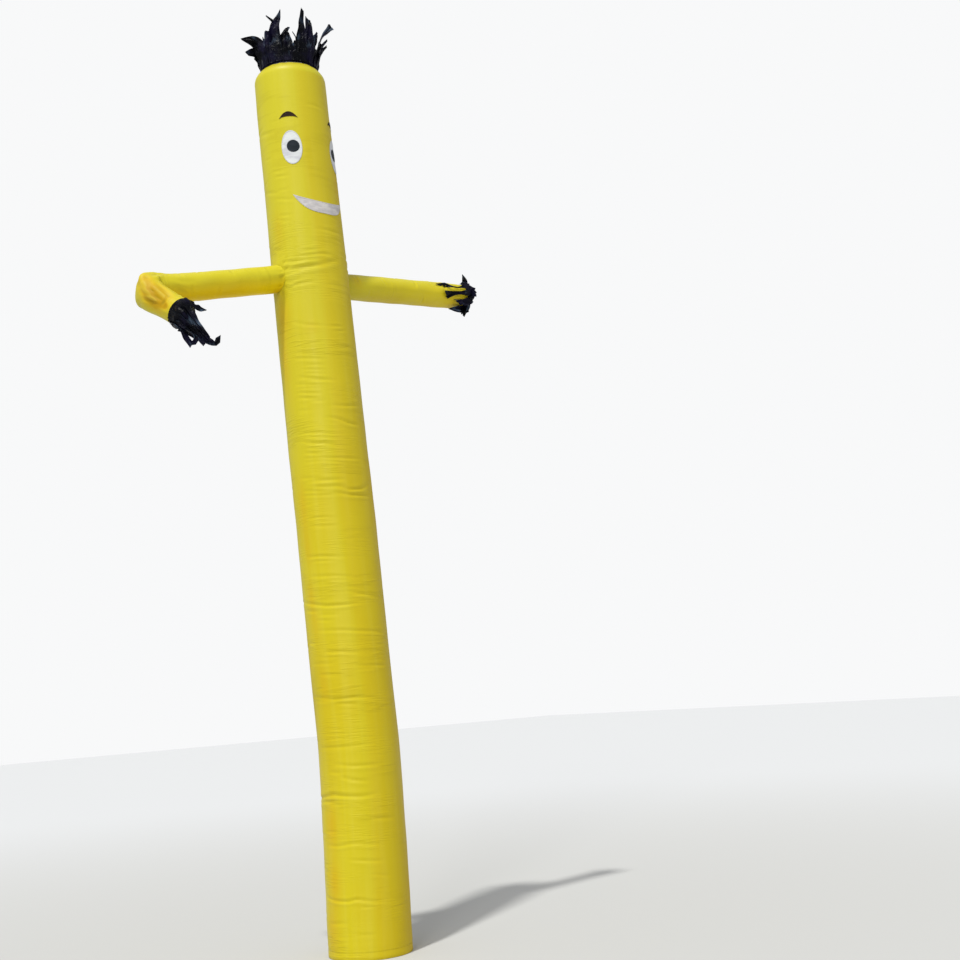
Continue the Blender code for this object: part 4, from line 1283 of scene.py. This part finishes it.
# %% Hair
HAIR_RADIUS, HAIR_BAND = 0.165, 0.020
HAIR = (
    (-24, ((-0.07, 0.16, 0.08), (-0.068, 0.15, 0.20), (-0.035, 0.12, 0.335)),
     (0.078, 0.09, 0.062, 0.004), 12),
    (-11, ((-0.03, 0.17, 0.08), (-0.015, 0.16, 0.16), (0.008, 0.14, 0.21)), (0.07, 0.07, 0.055, 0.02), -14),
    (2, ((0.004, 0.175, 0.05), (0.006, 0.17, 0.11), (-0.004, 0.16, 0.165)), (0.07, 0.07, 0.055, 0.03), 20),
    (11, ((0.05, 0.17, 0.05), (0.056, 0.165, 0.11), (0.034, 0.16, 0.172)), (0.03, 0.026, 0.018, 0.004), 30),
    (15, ((0.045, 0.168, 0.04), (0.05, 0.165, 0.075), (0.054, 0.16, 0.105)), (0.07, 0.07, 0.055, 0.03), -12),
    (25, ((0.078, 0.158, 0.08), (0.083, 0.15, 0.20), (0.097, 0.14, 0.322)), (0.072, 0.07, 0.058, 0.018), 24),
    (40, ((0.118, 0.13, 0.08), (0.128, 0.125, 0.18), (0.131, 0.12, 0.268)), (0.064, 0.06, 0.056, 0.044), -18),
    (57, ((0.150, 0.09, 0.07), (0.158, 0.085, 0.14), (0.172, 0.08, 0.195)), (0.075, 0.075, 0.066, 0.034), 30),
    (70, ((0.172, 0.04, 0.10), (0.20, 0.02, 0.20), (0.262, 0.01, 0.272)),
     (0.06, 0.046, 0.024, 0.024, 0.070), 100),
    (84, ((0.170, 0.02, 0.05), (0.178, 0.02, 0.11), (0.196, 0.01, 0.168)), (0.075, 0.075, 0.07, 0.030), 65),
    (98, ((0.176, -0.03, 0.08), (0.20, -0.03, 0.165), (0.234, -0.03, 0.210)), (0.06, 0.05, 0.036, 0.014), 60),
    (111, ((0.165, -0.06, 0.07), (0.19, -0.05, 0.14), (0.230, -0.04, 0.172)),
     (0.07, 0.055, 0.036, 0.014), 55),
    (131, ((0.14, -0.12, 0.08), (0.15, -0.13, 0.15), (0.16, -0.12, 0.24)), (0.075, 0.07, 0.05, 0.012), -25),
    (152, ((0.09, -0.15, 0.08), (0.10, -0.17, 0.17), (0.08, -0.16, 0.29)), (0.075, 0.07, 0.055, 0.02), 30),
    (174, ((0.03, -0.17, 0.06), (0.02, -0.19, 0.13), (0.05, -0.20, 0.19)), (0.075, 0.07, 0.05, 0.012), -40),
    (197, ((-0.05, -0.17, 0.10), (-0.06, -0.175, 0.20), (-0.045, -0.16, 0.31)),
     (0.075, 0.07, 0.05, 0.008), 20),
    (218, ((-0.10, -0.15, 0.06), (-0.12, -0.17, 0.14), (-0.115, -0.16, 0.21)),
     (0.075, 0.07, 0.05, 0.014), -30),
    (240, ((-0.152, -0.09, 0.06), (-0.165, -0.10, 0.12), (-0.17, -0.09, 0.17)),
     (0.075, 0.07, 0.05, 0.02), 35),
    (262, ((-0.166, -0.02, 0.04), (-0.170, -0.01, 0.09), (-0.162, 0.01, 0.15)),
     (0.075, 0.075, 0.07, 0.04), 70),
    (275, ((-0.168, 0.02, 0.06), (-0.19, 0.03, 0.105), (-0.246, 0.04, 0.098)),
     (0.07, 0.075, 0.078, 0.024), 85),
    (288, ((-0.158, 0.06, 0.07), (-0.188, 0.08, 0.142), (-0.272, 0.10, 0.160)),
     (0.075, 0.085, 0.088, 0.062, 0.008), 85),
    (303, ((-0.148, 0.09, 0.05), (-0.152, 0.095, 0.11), (-0.146, 0.09, 0.16)),
     (0.075, 0.07, 0.06, 0.03), -20),
    (312, ((-0.112, 0.12, 0.10), (-0.066, 0.125, 0.235), (-0.120, 0.11, 0.302)),
     (0.06, 0.04, 0.028, 0.006), 25),
    (321, ((-0.116, 0.132, 0.06), (-0.12, 0.13, 0.13), (-0.118, 0.125, 0.196)),
     (0.075, 0.078, 0.07, 0.028), 16),
)
crown = tube_centre(SHOULDER_HEIGHT) + UP * (DOME_RISE * math.sqrt(1 - (HAIR_RADIUS / SHOULDER_RADIUS) ** 2))
hair = lay_fringe("hair_fringe", crown + UP * 0.0016, UP, HAIR_RADIUS, HAIR_BAND, SEEN, HAIR)
stands_for(hair, "hair", black_finish)
surface_area(hair) / 2

# %% [markdown]
# ## The hands
# Each hand is a fringe sewn round an open cuff. The right one hangs from the slack forearm in one
# clump that closes over the cuff: its longest strip curls up again at the end, and two narrow ones
# make a loop below. The left one is blown about. Some of its strips are bunched at the cuff, and four
# are folded back along the arm. The stops of the right hand are given as the hair's are. Those of the
# left hand are along the arm, away from it on its front, and upwards.

# %% Hands
HAND_RIGHT = (
    (80, ((0.00, 0.10, -0.015), (0.042, 0.09, -0.070), (0.094, 0.085, -0.125), (0.145, 0.085, -0.180),
          (0.180, 0.085, -0.188), (0.190, 0.085, -0.155)), (0.07, 0.07, 0.055, 0.045, 0.04, 0.034, 0.022), 0),
    (32, ((0.030, 0.06, 0.015), (0.060, 0.07, -0.040), (0.103, 0.08, -0.110), (0.142, 0.085, -0.170)),
     (0.07, 0.055, 0.040, 0.026), 20),
    (112, ((-0.03, 0.085, -0.05), (0.01, 0.09, -0.08), (0.055, 0.09, -0.115), (0.125, 0.085, -0.190)),
     (0.07, 0.065, 0.045, 0.036), -15),
    (150, ((-0.035, 0.05, -0.075), (0.005, 0.08, -0.115), (0.030, 0.08, -0.160), (0.052, 0.075, -0.195)),
     (0.06, 0.055, 0.034, 0.028), 95),
    (168, ((-0.01, 0.06, -0.08), (0.055, 0.08, -0.118), (0.078, 0.085, -0.158), (0.056, 0.08, -0.194)),
     (0.06, 0.045, 0.030, 0.026), 85),
    (354, ((0.06, 0.01, 0.04), (0.09, 0.0, 0.02), (0.124, -0.01, 0.014)), (0.04, 0.04, 0.034, 0.010), 35),
    (312, ((0.050, 0.0, 0.005), (0.070, 0.04, -0.06), (0.112, 0.07, -0.14)), (0.07, 0.055, 0.035, 0.02), -20),
    (262, ((0.040, -0.02, -0.04), (0.070, 0.03, -0.10), (0.128, 0.07, -0.18)),
     (0.07, 0.055, 0.035, 0.02), 25),
    (216, ((0.0, -0.01, -0.08), (0.045, 0.04, -0.12), (0.115, 0.07, -0.185)),
     (0.07, 0.055, 0.035, 0.015), -30),
    (96, ((-0.015, 0.10, -0.03), (0.035, 0.095, -0.08), (0.10, 0.09, -0.150)),
     (0.08, 0.075, 0.045, 0.02), 12),
)
HAND_LEFT = (
    (30, ((0.012, 0.045, 0.09), (0.014, 0.04, 0.115), (0.016, 0.03, 0.144)), (0.06, 0.046, 0.022, 0.004), 20),
    (50, ((0.02, 0.072, 0.05), (-0.02, 0.085, 0.050), (-0.12, 0.082, 0.036), (-0.20, 0.076, 0.044),
          (-0.310, 0.068, 0.052)), (0.06, 0.036, 0.010, 0.008, 0.034, 0.004), 10),
    (66, ((0.018, 0.080, 0.034), (0.038, 0.084, 0.014), (0.058, 0.086, -0.004)),
     (0.070, 0.066, 0.060, 0.046), 0),
    (82, ((0.018, 0.092, 0.012), (-0.02, 0.102, 0.004), (-0.13, 0.096, -0.004), (-0.255, 0.088, -0.020)),
     (0.06, 0.050, 0.022, 0.030, 0.056), -15),
    (94, ((0.004, 0.085, 0.0), (0.000, 0.086, -0.03), (-0.028, 0.062, -0.072), (-0.042, 0.046, -0.116)),
     (0.08, 0.06, 0.048, 0.048, 0.036), 15),
    (118, ((-0.004, 0.086, -0.034), (-0.030, 0.100, -0.05), (-0.09, 0.094, -0.060), (-0.150, 0.086, -0.062)),
     (0.050, 0.048, 0.058, 0.04), 20),
    (143, ((-0.010, 0.052, -0.085), (-0.024, 0.040, -0.110), (-0.036, 0.030, -0.138)),
     (0.06, 0.044, 0.034, 0.018), -25),
    (160, ((0.006, 0.045, -0.085), (-0.05, 0.052, -0.096), (-0.19, 0.045, -0.100)),
     (0.05, 0.052, 0.044, 0.004), 15),
    (214, ((0.02, -0.03, -0.08), (0.03, -0.03, -0.09), (0.03, -0.03, -0.104)), (0.07, 0.06, 0.05, 0.02), -30),
    (268, ((0.02, -0.09, 0.0), (0.04, -0.11, 0.01), (0.03, -0.14, 0.0)), (0.09, 0.08, 0.05, 0.02), 25),
    (322, ((0.02, -0.06, 0.065), (0.03, -0.08, 0.080), (0.02, -0.10, 0.090)), (0.08, 0.07, 0.05, 0.01), -20),
)
HAND_BAND, HAND_RADIUS = 0.018, CUFF_RADIUS + 0.0022
left_upright = unit(UP - left_way * left_way[2])
along_left = np.array((left_way, np.cross(left_way, left_upright), left_upright))
hands = (
    ("hand_fringe_right", CUFF_RIGHT, fore, SEEN, HAND_RIGHT, arm_right, 0.30),
    ("hand_fringe_left", CUFF_LEFT, left_way, along_left, HAND_LEFT, arm_left, 0.40),
)
for name, cuff, way, ways, tongues, arm, long in hands:
    hand = lay_fringe(name + "_cloth", cuff - way * HAND_BAND / 2, way, HAND_RADIUS, HAND_BAND, ways,
                      tongues)
    stands_for(hand, name, black_finish)
    surface_area(hand) / 2

# %% [markdown]
# ## The face
# The eyes, the brows and the smile are patches of thin nylon, sewn on flat with a dense satin stitch
# round their edges. A patch is laid from its middle out in rings, because a round grid ends exactly
# on a curved edge, and its last rings rise a little for the stitching. It lies on the tube's creased
# surface, a fraction of a millimetre above it, and a pupil lies higher, on its eye.

# %% Patch tools
PATCH_COLUMNS = 96
RINGS = np.array((0, 0.16, 0.32, 0.46, 0.58, 0.68, 0.77, 0.84, 0.89, 0.925, 0.95, 0.97, 0.985, 1.0))


def patch_cloth(name, middle, half_width, top, bottom, lift):
    """A patch between two edges, each a height for a place from -1 to 1 across it."""
    turns = np.radians(np.linspace(360, 0, PATCH_COLUMNS + 1))[None, :]
    ring = RINGS[:, None]
    x, y = ring * np.cos(turns), ring * np.sin(turns)
    room = np.sqrt(np.clip(1 - x * x, 0, None))
    up = np.divide(y, room, out=np.zeros_like(y), where=room > 1e-6)
    height = (top(x) + bottom(x)) / 2 + np.clip(up, -1, 1) * (top(x) - bottom(x)) / 2
    angle = middle + half_width * x
    half = np.minimum((top(x * 0) - bottom(x * 0)) / 2, half_width * DEGREE)
    inward = (1 - ring) * half
    bead = 0.7 * MM * np.exp(-(((inward - 0.0022) / 0.0018) ** 2))
    points = tube_surface(angle, height, lift + bead)
    points[0] = points[0].mean(axis=0)
    rim = points[-1]
    round_it = np.concatenate([[0], np.cumsum(np.linalg.norm(np.diff(rim, axis=0), axis=1))])
    flat = np.stack(np.broadcast_arrays(round_it[None, :], inward), axis=-1)
    piece = lay_cloth(name, points, flat, fold=-fold_moves(angle, height) / (5 * MM))
    sew(piece, 0.00005)
    thicken(piece, 0.0007, 1)
    return piece


def patch_nylon(name, colour, shade, roughness):
    """Thin nylon with a satin-stitched edge, which its flat map gives the distance from."""
    finish = Finish(name, Specular_IOR_Level=0.12)
    flat, place = finish.flat_map(), finish.place()
    inward = finish.part(flat, "Y")
    fold = finish.mark("fold")
    stitched = 1 - inward.between(0.0042, 0.0050)
    threads = finish.bands(flat, 0.0016, "X") * stitched
    crinkle = finish.noise(place, 26.0, 3.0, (1, 1, 3.2))
    weave = finish.noise(place, 420.0, 1.0)
    normal = finish.bump(crinkle, 0.0022)
    normal = finish.bump(threads + weave * 0.35, 0.00035, normal)
    cloud = finish.noise(place, 14.0, 3.0, (1, 1, 2.2)).between(0.36, 0.68)
    colour = finish.mix(cloud * 0.75, colour, shade)
    # a darker satin-stitched rim, and painted shade where the tube creases under the patch
    colour = finish.mix(stitched * 0.35 + fold.between(0.2, 1.0) * 0.4, colour, shade)
    return finish.show(Base_Color=colour, Roughness=roughness + cloud * 0.1, Normal=normal)


white_finish = patch_nylon("white_nylon_patch", (0.64, 0.66, 0.66, 1), (0.46, 0.46, 0.50, 1), 0.46)
smile_finish = patch_nylon("smile_nylon_patch", (0.60, 0.57, 0.55, 1), (0.40, 0.38, 0.40, 1), 0.46)
pupil_finish = patch_nylon("dark_pupil_patch", (0.006, 0.011, 0.016, 1), (0.016, 0.022, 0.030, 1), 0.50)
brow_finish = patch_nylon("dark_brow_patch", (0.014, 0.006, 0.002, 1), (0.046, 0.022, 0.006, 1), 0.60)
print("patches have", len(RINGS), "rings")

# %% Face
EYE_ROUND, EYE_HEIGHT, EYE_HALF_WIDTH, EYE_HALF_HEIGHT = 43.4, 4.525, 16.0, 0.1025
PUPIL_ROUND, PUPIL_HEIGHT, PUPIL_RADIUS = 41.0, 4.531, 0.0365
BROW_ROUND, BROW_HALF_WIDTH, BROW_ENDS, BROW_TOP, BROW_BOTTOM = 44.3, 15.0, 4.705, 4.745, 4.7150
MOUTH_HALF_WIDTH, MOUTH_ENDS, MOUTH_TOP, MOUTH_BOTTOM = 49.0, 4.240, 4.198, 4.130
ON_TUBE, ON_EYE = 0.0006, 0.0017  # how far a patch lies out from the tube's cloth


def oval_edges(height, half_height):
    half = lambda place: half_height * np.sqrt(np.clip(1 - place * place, 0, None))
    return lambda place: height + half(place), lambda place: height - half(place)


def crescent_edges(ends, top, bottom):
    upper = lambda place: ends + (top - ends) * (1 - place * place)
    lower = lambda place: ends + (bottom - ends) * (1 - np.abs(place) ** 3)
    return upper, lower


def add_patch(node, middle, half_width, edges, lift, material):
    piece = patch_cloth(node + "_patch", middle, half_width, *edges, lift)
    stands_for(piece, node, material)
    surface_area(piece) / 2
    return piece


for side, way in (("right", -1), ("left", 1)):
    eye = add_patch("eye_white_" + side, way * EYE_ROUND, EYE_HALF_WIDTH,
                    oval_edges(EYE_HEIGHT, EYE_HALF_HEIGHT), ON_TUBE, white_finish)
    arc = math.degrees(PUPIL_RADIUS / tube_radius(PUPIL_HEIGHT))
    add_patch("pupil_" + side, way * PUPIL_ROUND, arc, oval_edges(PUPIL_HEIGHT, PUPIL_RADIUS),
              ON_EYE, pupil_finish)
    add_patch("brow_" + side, way * BROW_ROUND, BROW_HALF_WIDTH,
              crescent_edges(BROW_ENDS, BROW_TOP, BROW_BOTTOM), ON_TUBE, brow_finish)
add_patch("mouth", 0.0, MOUTH_HALF_WIDTH, crescent_edges(MOUTH_ENDS, MOUTH_TOP, MOUTH_BOTTOM),
          ON_TUBE, smile_finish)
